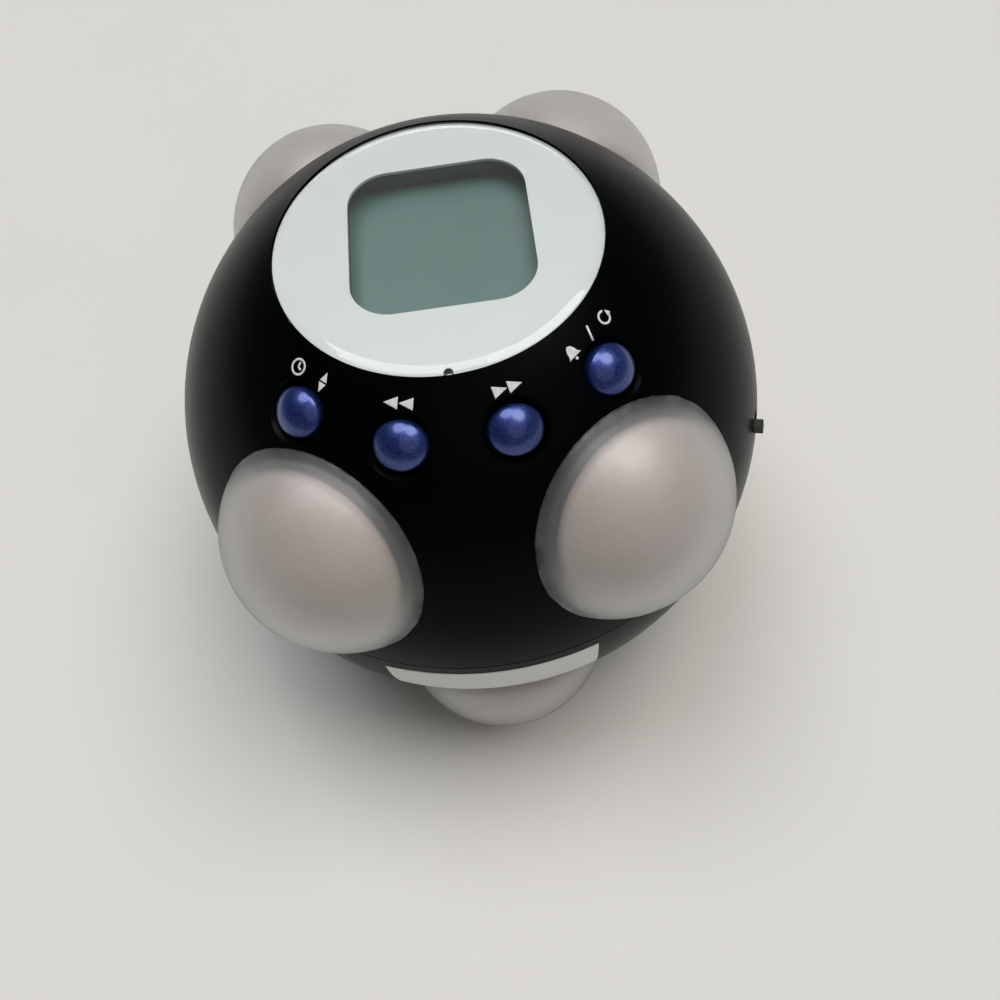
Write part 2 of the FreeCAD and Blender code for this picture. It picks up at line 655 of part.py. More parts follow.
def behind_domes():
    """Eight clamp rings, lamp boards and lamps, each kind in one node."""
    rings, boards, lamps = [], [], []
    low = LEDGE_BOTTOM - CLAMP_HEIGHT
    for name, (polar, turn) in DOMES.items():
        place = radial(polar, turn)
        outer = cylinder(f"{name}_clamp", dim("clamp_radius"), CLAMP_HEIGHT, shifted(place, z=low))
        inner = cylinder(f"{name}_clamp_hole", dim("cup_skirt"), CLAMP_HEIGHT, shifted(place, z=low))
        rings.append(cut(f"{name}_clamp_ring", outer, inner))
        boards.append(cylinder(f"{name}_led_board", dim("led_board_radius"), 1, shifted(place, z=low + 0.2)))
        radius, foot = dim("led_radius"), low + 1.2
        lamp = revolved(f"{name}_led", [
            (0, foot), (radius + 0.4, foot), (radius + 0.4, foot + 0.8), (radius, foot + 0.8),
            (radius, foot + 3, "y"), (0, foot + 3 + radius, "x"),
        ], {4: (foot + 3, radius)})
        lamp.Placement = place
        lamps.append(lamp)
    node(group("dome_clamp_rings", rings), "dome_clamp_rings")
    node(group("led_boards", boards), "led_boards")
    node(group("leds", lamps), "leds")


# ---------------------------------------------------------------- display

DISPLAY_SCREWS = [(22.5 * sx, 8.2 * sy) for sx in (-1, 1) for sy in (-1, 1)]
BOARD_SCREWS = [(float(dim("window_right")) + 13.6 * sx, float(dim("window_back")) + 13.6 * sy)
                for sx in (-1, 1) for sy in (-1, 1)]


def display_lens():
    radius, top = dim("lens_radius"), dim("lens_top")
    body = revolved("lens_disc", [
        (0, FACE_TOP), (radius, FACE_TOP), (radius, top - dim("lens_bevel_drop")),
        (radius - dim("lens_bevel"), top), (0, top),
    ])
    notch = cylinder("lens_notch", dim("lens_notch"), 4, at(0, -radius + 0.2, FACE_TOP - 1))
    return node(cut("lens_notched", body, notch), "display_lens")


def dial_ring():
    body = new_body("face_body")
    disc = sketch_on(body, "XY_Plane", "face_outline")
    circle = disc.addGeometry(Part.Circle(Vector(0, 0, 0), Vector(0, 0, 1), 26), False)
    disc.addConstraint(Sketcher.Constraint("Coincident", circle, CENTRE, H_AXIS, START))
    radius = disc.addConstraint(Sketcher.Constraint("Radius", circle, 26))
    disc.setExpression(f"Constraints[{radius}]", dim("lens_radius").text)
    pad = body.newObject("PartDesign::Pad", "face_pad")
    pad.Profile = disc
    bind(pad, Length=dim("ring_thickness"))
    doc.recompute()
    window = sketch_on(body, "XY_Plane", "face_window")
    rounded_window(window, dim("window_width"), dim("window_length"), dim("window_corner"),
                   dim("window_right"), dim("window_back"))
    pocket = body.newObject("PartDesign::Pocket", "face_pocket")
    pocket.Profile = window
    pocket.Type = "ThroughAll"
    pocket.Reversed = True
    body.Tip = pocket
    doc.recompute()
    if pocket.Shape.Volume > pad.Shape.Volume * 0.9:
        raise RuntimeError("the opening in the face was not cut")
    return node(body, "dial_ring", at(0, 0, SEAT_TOP))


def display_unit():
    """Frame, glass, connector strips, board and chip, stacked under the face."""
    right, back = dim("window_right"), dim("window_back")
    bottom, board = dim("frame_bottom"), dim("board_top")
    glass, glass_low = dim("glass_size"), dim("glass_top") - dim("glass_thickness")
    pilot, passing = dim("small_pilot"), dim("small_clearance")
    open_width, open_length = dim("window_width") + 1, dim("window_length") + 1
    solids = fuse("frame_solids", [
        cylinder("frame_flange", dim("frame_radius"), SEAT_BOTTOM - bottom, at(0, 0, bottom)),
        cylinder("frame_neck", dim("seat_radius") - 0.2, dim("seat_thickness"), at(0, 0, SEAT_BOTTOM)),
        box("frame_legs", glass, glass, bottom - board, at(right, back, board)),
    ])
    hollows = [
        box("frame_window", open_width, open_length, 10, at(right, back, dim("glass_top"))),
        box("frame_pocket", glass + 0.4, glass + 0.4, dim("glass_thickness"), at(right, back, glass_low)),
        box("frame_inside", glass - 3, glass - 3, 10, at(right, back, glass_low - 10)),
    ]
    hollows += [cylinder("frame_screw_hole", passing, 10, at(x, y, bottom - 1)) for x, y in DISPLAY_SCREWS]
    posts = [cylinder("frame_post", 2, glass_low - board, at(x, y, board)) for x, y in BOARD_SCREWS]
    pilots = [cylinder("frame_post_pilot", pilot, 4, at(x, y, board)) for x, y in BOARD_SCREWS]
    posted = fuse("frame_posted", [cut("frame_hollow", solids, fuse("frame_hollows", hollows))] + posts)
    node(cut("frame_drilled", posted, fuse("frame_pilots", pilots)), "lcd_frame")
    node(padded("glass_body", rectangle(glass, glass, right, back), dim("glass_thickness")),
         "lcd_glass", at(0, 0, glass_low))
    strips = [box("strip", 20, 1.8, glass_low - board, at(right, back + 9 * side, board)) for side in (-1, 1)]
    node(group("strips", strips), "lcd_connectors")
    low = board - dim("board_thickness")
    disc = cylinder("board_disc", dim("board_radius"), dim("board_thickness"), at(0, 0, low))
    holes = [cylinder("board_hole", passing, 4, at(x, y, low - 1)) for x, y in BOARD_SCREWS]
    node(cut("board_drilled", disc, fuse("board_holes", holes)), "main_board")
    chip_size, chip_height = 9, 1.5
    chip = padded("chip_body", rectangle(chip_size, chip_size), chip_height)
    node(chip, "controller_chip", at(0, 0, low - chip_height))


# ---------------------------------------------------------------- buttons

def button(name, turn):
    """Oval crowned cap with a round flange that keeps it behind the shell."""
    place = radial(dim("button_polar"), turn)
    foot, top, sphere = dim("button_foot"), dim("button_top"), dim("button_sphere")
    stem = oval(f"{name}_stem", dim("button_width"), dim("button_height"), top - foot, shifted(place, z=foot))
    crown = doc.addObject("Part::Sphere", f"{name}_crown")
    bind(crown, Radius=sphere)
    crown.Placement = shifted(place, z=top - sphere)
    cap = doc.addObject("Part::Common", f"{name}_cap")
    cap.Base, cap.Tool = stem, crown
    flange = cylinder(f"{name}_flange", dim("button_flange"), 0.8, shifted(place, z=foot))
    return node(fuse(f"{name}_flanged_cap", [cap, flange]), f"{name}_button")


def rubber_key(name, turn):
    """Silicone key: a base ring, a thin conical web that buckles, and a hub with the contact pill."""
    low, top = dim("key_board_out"), dim("button_foot") - 0.05
    body = revolved(f"{name}_silicone", [
        (3.0, low), (4.8, low), (4.8, low + 0.8), (3.9, low + 0.8), (2.2, low + 3.4), (2.2, top), (0, top),
        (0, low + 1.4), (1.2, low + 1.4), (1.2, low + 2.6), (3.0, low + 0.6),
    ])
    return node(body, f"{name}_rubber_key", radial(dim("button_polar"), turn))


def key_board():
    """Strip of a cone round Z, square to the button axes, which carries the four keys."""
    lean = math.radians(float(dim("button_polar")))
    outward = Vector(0, -math.sin(lean), math.cos(lean))
    upward = Vector(0, math.cos(lean), math.sin(lean))
    outer, half = float(dim("key_board_out")), float(dim("key_board_half"))
    inner = outer - float(dim("key_board_thickness"))
    section = ((inner, -half), (outer, -half), (outer, half), (inner, half))
    corners = [outward * depth + upward * height for depth, height in section]
    face = Part.Face(Part.makePolygon(corners + corners[:1]))
    span = 104.0
    face.rotate(Vector(0, 0, 0), Vector(0, 0, 1), -span / 2)
    item = doc.addObject("Part::Feature", "key_board_strip")
    item.Shape = face.revolve(Vector(0, 0, 0), Vector(0, 0, 1), span)
    polar, passing = dim("button_polar"), dim("small_clearance")
    holes = [cylinder("key_board_hole", passing, 4, radial(polar, turn, 42)) for turn in POST_TURNS]
    return node(cut("key_board_drilled", item, fuse("key_board_holes", holes)), "key_board")


# ---------------------------------------------------------------- slide switch and speaker

def slide_switch():
    """Tab on a foot that closes the slot at both ends of its travel, in a channel along the switch's body."""
    travel, length, width = dim("switch_travel"), dim("knob_length"), dim("knob_width")
    foot_length = length + 5
    channel_length = foot_length + travel + 0.6
    at_end = shifted(SWITCH, x=-travel / 2)
    tab = box("knob_tab", length, width, dim("knob_top") - 51, shifted(at_end, z=51))
    grooves = [box("knob_groove", 0.25, width + 1, 0.25, shifted(at_end, x=x, z=dim("knob_top") - 0.25))
               for x in (-0.3, 0.3)]
    foot = box("knob_foot", foot_length, width + 1.8, 0.8, shifted(at_end, z=50.3))
    knob = cut("knob_grooved", fuse("knob_solid", [tab, foot]), fuse("knob_grooves", grooves))
    node(knob, "slide_switch_knob")
    block = box("switch_block", channel_length + 2.4, 5.6, 4.9, shifted(SWITCH, z=46.5))
    channel = box("switch_channel", channel_length, 6.6, 3, shifted(SWITCH, z=50))
    node(cut("switch_housing", block, channel), "slide_switch_body")


def speaker():
    """Flat round speaker: basket, magnet and a shallow cone facing the grille."""
    radius = dim("speaker_radius")
    body = revolved("speaker_turned", [
        (0, 46.4), (6, 46.4), (6, 49), (radius, 49), (radius, 51.1), (radius - 1.2, 51.1),
        (radius - 1.8, 50.5), (4, 49.8), (0, 50.6),
    ])
    node(body, "speaker", SPEAKER)


# ---------------------------------------------------------------- batteries

def battery(number, flip):
    radius, length = dim("cell_radius"), dim("cell_length")
    half, nub = length / 2, 1.0
    body = revolved(f"cell_{number}", [
        (0, -half), (radius - 0.5, -half), (radius, -half + 0.5), (radius, half - nub - 0.5),
        (radius - 0.5, half - nub), (1.9, half - nub), (1.9, half), (0, half),
    ])
    turned = ALONG_Y.multiply(Rotation(Vector(1, 0, 0), 180)) if flip else ALONG_Y
    x = float(dim("cell_pitch")) * (number - 2)
    return node(body, f"battery_{number}", Placement(Vector(x, 0, -float(dim("cell_depth"))), turned))


def battery_contacts():
    """Plates at both ends, and a spring at each cell's flat end."""
    end = dim("tray_length") / 2 - dim("tray_wall") - 0.4
    pieces = []
    for side in (-1, 1):
        place = at(0, side * (float(end) + 0.2), -dim("cell_depth") - 4)
        pieces.append(box("contact_plate", 34, 0.4, 9, place))
    reach = float(end) - float(dim("cell_length")) / 2
    coils, lead_in = 3, 0.02
    step = (reach - lead_in) / coils
    for number in (1, 2, 3):
        side = 1 if number == 2 else -1
        profile = [(0, 0)]
        for k in range(coils):
            widest = 3.2 - 0.5 * k
            waist = widest - 0.6
            profile += [(waist, k * step), (widest, (k + 0.5) * step), (waist, (k + 0.99) * step)]
        profile.append((0, (coils - 0.01) * step))
        spring = revolved(f"contact_spring_{number}", profile)
        tip = reach - lead_in
        stud = revolved(f"contact_stud_{number}", [(0, 0), (2.4, 0), (1.6, tip), (0, tip)])
        for piece, end_side in ((spring, side), (stud, -side)):
            x = float(dim("cell_pitch")) * (number - 2)
            inwards = Rotation(Vector(1, 0, 0), 90 * end_side)
            piece.Placement = Placement(Vector(x, end_side * float(end), -float(dim("cell_depth"))), inwards)
            pieces.append(piece)
    node(group("contacts", pieces), "battery_contacts")


def battery_tray():
    width, length, wall = dim("tray_width"), dim("tray_length"), dim("tray_wall")
    low, top = -dim("base_depth") + dim("shell_wall"), -dim("tray_roof")
    block = doc.addObject("Part::Common", "tray_block")
    block.Base = box("tray_square", width, length, top - low, at(0, 0, low))
    block.Tool = cylinder("tray_corners", other_side(INNER_RADIUS, low) - 0.1, top - low, at(0, 0, low))
    bay = box("tray_bay", width - wall * 2, length - wall * 2, top - low - 1.5, at(0, 0, low))
    ribs = [box("tray_rib", 0.7, length - wall * 2 - 1.2, 4, at(x, 0, top - 5.5))
            for x in (-dim("cell_pitch") / 2, dim("cell_pitch") / 2)]
    pilot = dim("small_pilot")
    roof_holes = [cylinder("tray_screw_hole", pilot, 6, at(x, y, top - 5)) for x, y in DRIVE_SCREWS]
    tray = fuse("tray_ribbed", [cut("tray_shell", block, bay)] + ribs)
    node(cut("tray_drilled", tray, fuse("tray_holes", roof_holes)), "battery_tray")


def battery_door():
    """Flush door with a half-thick screw tab on the right and three grip grooves."""
    thick, base = dim("door_thickness"), -dim("base_depth")
    plate = padded("door_plate", rectangle(dim("door_width"), dim("door_length")), thick)
    plate.Placement = at(0, 0, base)
    tab_x, tab_r, tab_t = dim("door_tab_right"), dim("door_tab_radius"), dim("door_tab_thickness")
    tab = cylinder("door_tab", tab_r, tab_t, at(tab_x, 0, base))
    neck = box("door_tab_neck", 8, tab_r * 2, tab_t, at(tab_x - 4, 0, base))
    hole = cylinder("door_screw_hole", 1.15, 6, at(tab_x, 0, base - 2))
    sink = cone("door_countersink", 2.6, 1.1, 1.0, at(tab_x, 0, base - 0.01))
    grips = [box("door_grip", 12, 0.8, 0.5, at(0, y, base - 0.1)) for y in (-21, -19, -17)]
    solid = fuse("door_solid", [plate, tab, neck])
    node(cut("door_cut", solid, fuse("door_tools", [hole, sink] + grips)), "battery_door")
    head = cone("door_screw_head", 2.3, 1.0, 0.9, at(0, 0, base + 0.05))
    shank = cylinder("door_screw_shank", 1.0, 7, at(0, 0, base + 0.5))
    slot = box("door_screw_slot", 3.4, 0.6, 0.5, at(0, 0, base))
    screw = cut("door_screw_slotted", fuse("door_screw_solid", [head, shank]), slot)
    node(screw, "door_screw", at(tab_x, 0, 0))


# ---------------------------------------------------------------- screws

def screw_at(name, shank_radius, length, head_radius, place):
    """Pan-head screw that points along the placement's +Z, its head below the placement."""
    head = cylinder(f"{name}_head", head_radius, 1.2, shifted(place, z=-1.2))
    shank = cylinder(f"{name}_shank", shank_radius, length, place)
    return fuse(f"{name}_screw", [head, shank])


def case_screws():
    shank, head = dim("case_shank"), dim("case_head")
    screws = [screw_at("case", shank, 36, head, at(x, y, CASE_SEAT)) for x, y in CASE_CORNERS]
    node(group("case_screw_set", screws), "case_screws")


DRIVE_SCREWS = [(5.8 * sx, y) for sx in (-1, 1) for y in (-11.0, 22.0)]


def small_screws():
    """Screws of the display frame, main board, key board and drive frame."""
    frame = dim("frame_bottom")
    board = dim("board_top") - dim("board_thickness")
    key_board_inside = dim("key_board_out") - dim("key_board_thickness") - 0.05
    drive_base = -float(dim("tray_roof")) + float(dim("cheek_thickness"))
    upside_down = Rotation(Vector(1, 0, 0), 180)
    places = [("seat", 6.4, at(x, y, frame)) for x, y in DISPLAY_SCREWS]
    places += [("board", 5, at(x, y, board)) for x, y in BOARD_SCREWS]
    places += [("key_board", 4.8, radial(dim("button_polar"), turn, key_board_inside)) for turn in POST_TURNS]
    places += [("drive", 5, Placement(Vector(x, y, drive_base), upside_down)) for x, y in DRIVE_SCREWS]
    shank, head = dim("small_shank"), dim("small_head")
    screws = [screw_at(name, shank, length, head, place) for name, length, place in places]
    node(group("small_screw_set", screws), "small_screws")


# ---------------------------------------------------------------- the drive

ADDENDUM, DEDENDUM, PRESSURE_ANGLE = 0.8, 1.1, math.radians(25)  # stub teeth, in modules


def involute(angle):
    return math.tan(angle) - angle


def tooth_gap(teeth):
    """The four corners of the space between two teeth: on the tip circle and at the root, with the flanks'
    ends on the involutes of the base circle. The gap is centred on the +X axis."""
    module, play = float(dim("gear_module")), float(dim("backlash")) / 2
    pitch = module * teeth / 2
    base, tip, root = pitch * math.cos(PRESSURE_ANGLE), pitch + ADDENDUM * module, pitch - DEDENDUM * module
    half_gap = math.pi / (2 * teeth) + play / (2 * pitch)

    def half_angle(radius):
        flank = max(radius, base)
        return half_gap - involute(PRESSURE_ANGLE) + involute(math.acos(base / flank))

    over = tip + 0.3
    corners = [(root, half_angle(root)), (max(base, root), half_angle(base)), (tip, half_angle(tip)),
               (over, half_angle(over))]
    if root >= base:
        corners.pop(1)
    upper = [Vector(r * math.cos(a), r * math.sin(a), 0) for r, a in corners]
    return upper + [Vector(p.x, -p.y, 0) for p in reversed(upper)]


def gear(name, teeth, width):
    """Disc with one tooth gap cut and repeated round it."""
    count = int(float(teeth))
    body = new_body(name)
    blank = sketch_on(body, "XY_Plane", f"{name}_blank")
    tip = dim("gear_module") * (teeth / 2 + ADDENDUM)
    circle = blank.addGeometry(Part.Circle(Vector(0, 0, 0), Vector(0, 0, 1), tip.value), False)
    blank.addConstraint(Sketcher.Constraint("Coincident", circle, CENTRE, H_AXIS, START))
    index = blank.addConstraint(Sketcher.Constraint("Radius", circle, tip.value))
    blank.setExpression(f"Constraints[{index}]", tip.text)
    pad = body.newObject("PartDesign::Pad", f"{name}_pad")
    pad.Profile = blank
    bind(pad, Length=width)
    doc.recompute()
    gap = sketch_on(body, "XY_Plane", f"{name}_gap")
    outline(gap, [(p.x, p.y) for p in tooth_gap(count)])
    pocket = body.newObject("PartDesign::Pocket", f"{name}_tooth_gap")
    pocket.Profile = gap
    pocket.Type = "ThroughAll"
    pocket.Reversed = True
    doc.recompute()
    if pocket.Shape.Volume > pad.Shape.Volume - 1e-3:
        raise RuntimeError(f"{name}: the tooth gap was not cut")
    pattern = body.newObject("PartDesign::PolarPattern", f"{name}_teeth")
    pattern.Originals = [pocket]
    pattern.Axis = (blank, ["N_Axis"])
    pattern.Angle = 360
    bind(pattern, Occurrences=teeth)
    body.Tip = pattern
    return body


def along_x(x, y, z=0.0, roll=0.0):
    """Placement whose +Z runs along the ball's +X, from that point, turned by roll degrees about it."""
    return Placement(Vector(float(x), float(y), float(z)), Rotation(Vector(1, 0, 0), roll).multiply(ALONG_X))


def half_pitch(teeth):
    return 180.0 / float(teeth)


def drive():
    module, width = dim("gear_module"), 3.0
    first_gap = module * (dim("small_teeth") + dim("output_teeth")) / 2
    second_gap = module * (dim("pinion_teeth") + dim("wheel_teeth")) / 2
    pin_y, motor_y = first_gap, first_gap + second_gap
    inner, thick = dim("cheek_inner"), dim("cheek_thickness")
    outer = inner + thick
    gear_x, wheel_x = outer + 0.9, outer + 4.3
    axle = dim("axle_radius")

    # Each gear is rolled so that a tooth of one stands in a gap of the other on the line of centres, along Y.
    gap_to_back, gap_to_front = 90.0, -90.0
    output = gear("output_teeth_body", dim("output_teeth"), width)
    output.Placement = along_x(gear_x, 0, 0, gap_to_back)
    bore = cylinder("output_bore", axle, 8, along_x(gear_x - 1, 0))
    windows = []
    window_count, window_reach = 5, 7.6
    for k in range(window_count):
        angle = 2 * math.pi * k / window_count
        place = along_x(gear_x - 1, window_reach * math.cos(angle), window_reach * math.sin(angle))
        windows.append(cylinder("output_window", 2.6, 8, place))
    node(cut("output_gear_cut", output, fuse("output_holes", [bore] + windows)), "output_gear")

    small = gear("small_teeth_body", dim("small_teeth"), wheel_x + 0.1 - gear_x)
    small.Placement = along_x(gear_x, pin_y, 0, gap_to_front + half_pitch(dim("small_teeth")))
    wheel = gear("wheel_teeth_body", dim("wheel_teeth"), 2.0)
    wheel.Placement = along_x(wheel_x, pin_y, 0, gap_to_back)
    pin_radius = 1.0
    pin_bore = cylinder("reduction_bore", pin_radius + 0.06, 12, along_x(outer, pin_y))
    node(cut("reduction_gear_cut", fuse("reduction_solid", [small, wheel]), pin_bore), "reduction_gear")

    pin_start = inner - 0.6
    pin = cylinder("pin_shank", pin_radius, wheel_x + 2.4 - pin_start, along_x(pin_start, pin_y))
    pin_head = cylinder("pin_head", 1.9, 0.5, along_x(wheel_x + 2.3, pin_y))
    node(fuse("gear_pin_solid", [pin, pin_head]), "gear_pin")

    pinion = gear("pinion_teeth_body", dim("pinion_teeth"), 3.0)
    pinion.Placement = along_x(wheel_x - 0.5, motor_y, 0, gap_to_front + half_pitch(dim("pinion_teeth")))
    shaft = cylinder("motor_shaft", 0.75, wheel_x + 2.5 - (inner - 3), along_x(inner - 3, motor_y))
    node(fuse("pinion_on_shaft", [pinion, shaft]), "motor_pinion")

    can_radius, can_length = dim("motor_radius"), dim("motor_length")
    can = cylinder("motor_can", can_radius, can_length, along_x(inner - can_length, motor_y))
    nose = cylinder("motor_nose", 3.0, 1.6, along_x(inner, motor_y))
    cap = cylinder("motor_cap", can_radius - 1.2, 1.0, along_x(inner - can_length - 1, motor_y))
    shaft_room = cylinder("motor_shaft_room", 0.82, 8, along_x(inner - 3.1, motor_y))
    node(cut("motor_bored", fuse("motor_solid", [can, nose, cap]), shaft_room), "motor")

    left, right = -outer - 1.6, gear_x + width + 0.4
    node(cylinder("output_axle_rod", axle, right - left), "output_axle", along_x(left, 0))

    drive_frame(pin_y, motor_y, outer)
    eccentric_weight()


def drive_frame(pin_y, motor_y, outer):
    """Moulded bracket on the tray: a base and two cheeks, the right one long enough for the motor."""
    thick, inner, foot = dim("cheek_thickness"), dim("cheek_inner"), -dim("tray_roof")
    base = box("frame_base", outer * 2, 40, thick, at(0, 6, foot))
    motor_back = motor_y + 9.4
    right_outline = [(-14, foot), (26, foot), (motor_back, -8), (motor_back, 7), (motor_y - 4, 10.5),
                     (pin_y, 8), (4, 5.5), (-4, 5.5)]
    left_outline = [(-14, foot), (14, foot), (4, 5.5), (-4, 5.5)]
    cheeks = []
    for name, points, x in (("right", right_outline, inner), ("left", left_outline, -outer)):
        cheek = padded(f"{name}_cheek", points, thick, role="YZ_Plane")
        cheek.Placement = at(x, 0, 0)
        cheeks.append(cheek)
    holes = [
        cylinder("axle_bush", dim("axle_radius") + 0.06, 40, along_x(-20, 0)),
        cylinder("pin_seat", 1.0, 6, along_x(inner - 0.6, pin_y)),
        cylinder("motor_seat", 3.05, 6, along_x(inner - 1, motor_y)),
    ]
    holes += [cylinder("base_screw_hole", 0.85, 4, at(x, y, foot - 1)) for x, y in DRIVE_SCREWS]
    node(cut("drive_frame_cut", fuse("drive_frame_solid", [base] + cheeks), fuse("drive_frame_holes", holes)),
         "drive_frame")


def eccentric_weight():
    """Zinc sector on a hub: it hangs under the axle at rest, and the ball rolls when it is driven round."""
    radius, hub, half_width = dim("weight_radius"), dim("weight_hub"), dim("weight_width") / 2
    body = new_body("weight_sector")
    sketch = sketch_on(body, "XZ_Plane", "weight_profile")
    outline(sketch, [
        (-half_width, -radius + 1), (-half_width + 1, -radius),
        (half_width - 1, -radius), (half_width, -radius + 1),
        (half_width, -hub / 2), (-half_width, -hub / 2),
    ])
    turn = body.newObject("PartDesign::Revolution", "weight_turn")
    turn.Profile = sketch
    turn.ReferenceAxis = (sketch, ["H_Axis"])
    turn.Midplane = True
    bind(turn, Angle=dim("weight_angle"))
    body.Tip = turn
    boss = cylinder("weight_boss", hub, dim("weight_width") + 2, along_x(-half_width - 1, 0))
    bore = cylinder("weight_bore", dim("axle_radius"), 30, along_x(-15, 0))
    node(cut("weight_bored", fuse("weight_solid", [body, boss]), bore), "eccentric_weight")


# ---------------------------------------------------------------- label

def label_patch():
    """Blank label that follows the ball just under the seam."""
    radius, thick = float(dim("ball_radius")), float(dim("label_thickness"))
    top, low = float(dim("label_top")), float(dim("label_bottom"))
    start, end = float(dim("label_left")), float(dim("label_right"))

    def point(out, polar):
        angle = math.radians(polar)
        return Vector(0, -out * math.sin(angle), out * math.cos(angle))

    middle = (top + low) / 2
    inner = Part.Arc(*(point(radius, polar) for polar in (top, middle, low))).toShape()
    outer = Part.Arc(*(point(radius + thick, polar) for polar in (top, middle, low))).toShape()
    ends = [Part.makeLine(point(radius, polar), point(radius + thick, polar)) for polar in (top, low)]
    face = Part.Face(Part.Wire(Part.__sortEdges__([inner, outer] + ends)))
    face.rotate(Vector(0, 0, 0), Vector(0, 0, 1), start)
    item = doc.addObject("Part::Feature", "label_strip")
    item.Shape = face.revolve(Vector(0, 0, 0), Vector(0, 0, 1), end - start)
    node(item, "label_patch")


# ---------------------------------------------------------------- build, check and write

upper_shell()
lower_shell()
for dome_name, (dome_polar, dome_turn) in DOMES.items():
    bumper_dome(dome_name, dome_polar, dome_turn)
    glow_cup(dome_name, dome_polar, dome_turn)
behind_domes()
display_lens()
dial_ring()
display_unit()
for button_name, button_turn in BUTTONS.items():
    button(button_name, button_turn)
    rubber_key(button_name, button_turn)
key_board()
slide_switch()
speaker()
for cell_number in (1, 2, 3):
    battery(cell_number, flip=cell_number == 2)
battery_contacts()
battery_tray()
battery_door()
case_screws()
small_screws()
drive()
label_patch()
doc.recompute()

failed = [item.Name for item in doc.Objects if "Invalid" in item.State or "Error" in item.State]
if failed:
    raise RuntimeError(f"these objects did not build: {failed}")
os.makedirs("parts", exist_ok=True)
for item in nodes:
    if item.Shape.isNull() or not item.Shape.isValid() or not item.Shape.Solids:
        raise RuntimeError(f"{item.Label} has no valid solid")
    item.Shape.exportStep(f"parts/{item.Label}.step")
    print(f"{item.Label}: {len(item.Shape.Solids)} solid(s), {item.Shape.Volume / 1000:.2f} cm3")
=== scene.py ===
import math

import bpy
import numpy as np
from bpy.props import FloatProperty, FloatVectorProperty, PointerProperty
from mathutils import Matrix


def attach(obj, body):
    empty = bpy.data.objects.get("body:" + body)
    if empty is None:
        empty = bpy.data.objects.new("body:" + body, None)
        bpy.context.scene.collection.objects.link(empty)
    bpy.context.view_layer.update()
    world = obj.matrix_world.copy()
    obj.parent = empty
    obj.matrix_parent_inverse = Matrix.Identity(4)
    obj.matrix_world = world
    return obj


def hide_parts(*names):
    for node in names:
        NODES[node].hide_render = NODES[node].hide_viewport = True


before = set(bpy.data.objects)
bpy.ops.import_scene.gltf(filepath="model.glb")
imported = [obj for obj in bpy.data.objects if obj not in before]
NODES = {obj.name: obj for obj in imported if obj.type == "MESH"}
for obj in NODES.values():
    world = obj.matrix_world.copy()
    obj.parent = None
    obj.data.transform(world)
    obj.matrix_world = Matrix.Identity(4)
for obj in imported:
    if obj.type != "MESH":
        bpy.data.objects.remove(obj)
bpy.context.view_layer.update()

bl_info = {
    "name": "Ball Alarm Clock",
    "version": (1, 0, 0),
    "blender": (4, 5, 0),
    "location": "3D View > Sidebar > Clock",
    "description": "Dresses the frame of a ball-shaped alarm clock in plastic, rubber, glass and print",
    "category": "Object",
}

# Lengths are in millimetres from the middle of the ball until a piece is placed, and then in metres, +Z up.
# "polar" is an angle down from the top of the ball, and "turn" one to the right of the front, in degrees.

MM = 0.001
WELD = 1e-4 * MM  # points nearer to each other than this are one point
BALL_HEIGHT = 45.0  # middle of the ball above the table
DOMES = {
    "upper_front_left": (64.0, -33.4),
    "upper_front_right": (64.0, 33.4),
    "upper_back_left": (64.0, -146.6),
    "upper_back_right": (64.0, 146.6),
    "lower_front": (124.0, 0.0),
    "lower_right": (124.0, 90.0),
    "lower_back": (124.0, 180.0),
    "lower_left": (124.0, -90.0),
}
BUTTON_POLAR = 38.8
BUTTONS = {"set": -43.4, "back": -14.3, "forward": 14.3, "alarm": 43.4}  # their turns


# ---------------------------------------------------------------- colours and sizes that a user may change

def srgb(code):
    """A hex colour as linear red, green and blue, by the sRGB curve: c / 12.92 in the toe, and
    ((c + 0.055) / 1.055) ^ 2.4 above it."""
    parts = [int(code[i:i + 2], 16) / 255 for i in (1, 3, 5)]
    return tuple(c / 12.92 if c <= 0.04045 else ((c + 0.055) / 1.055) ** 2.4 for c in parts)


def opaque(colour):
    """A colour with full alpha, as a socket takes it."""
    return (*colour, 1.0)


def colour_property(name, description, code):
    """A colour setting, which is that hex colour at first."""
    return FloatVectorProperty(name=name, description=description, subtype="COLOR", size=3, min=0, max=1,
                               default=srgb(code))


def length_property(name, description, millimetres):
    """A length setting, which is that many millimetres at first."""
    return FloatProperty(name=name, description=description, unit="LENGTH", default=millimetres * MM, min=0)


class ClockSizes(bpy.types.PropertyGroup):
    ball: length_property("Ball radius", "Outer radius of the shells, which the signs are printed on", 55.0)
    dome: length_property("Dome radius", "Outer radius of a bumper dome's sphere", 20.45)
    dome_centre: length_property("Dome centre", "Middle of a dome's sphere, from the ball's middle", 44.26)
    dome_neck: length_property("Dome neck", "Radius of the neck that stands in the shell's socket", 19.12)
    dome_wall: length_property("Dome wall", "Thickness of the rubber", 2.35)
    lens: length_property("Lens radius", "Radius of the clear lens", 26.0)
    lens_top: length_property("Lens height", "Top of the lens above the middle of the ball", 48.5)
    button_width: length_property("Button half width", "Half the width of a button's oval cap", 4.2)
    button_height: length_property("Button half height", "Half its height, towards the display", 3.75)
    sign_stroke: length_property("Sign stroke", "Line width of the printed signs", 0.34)


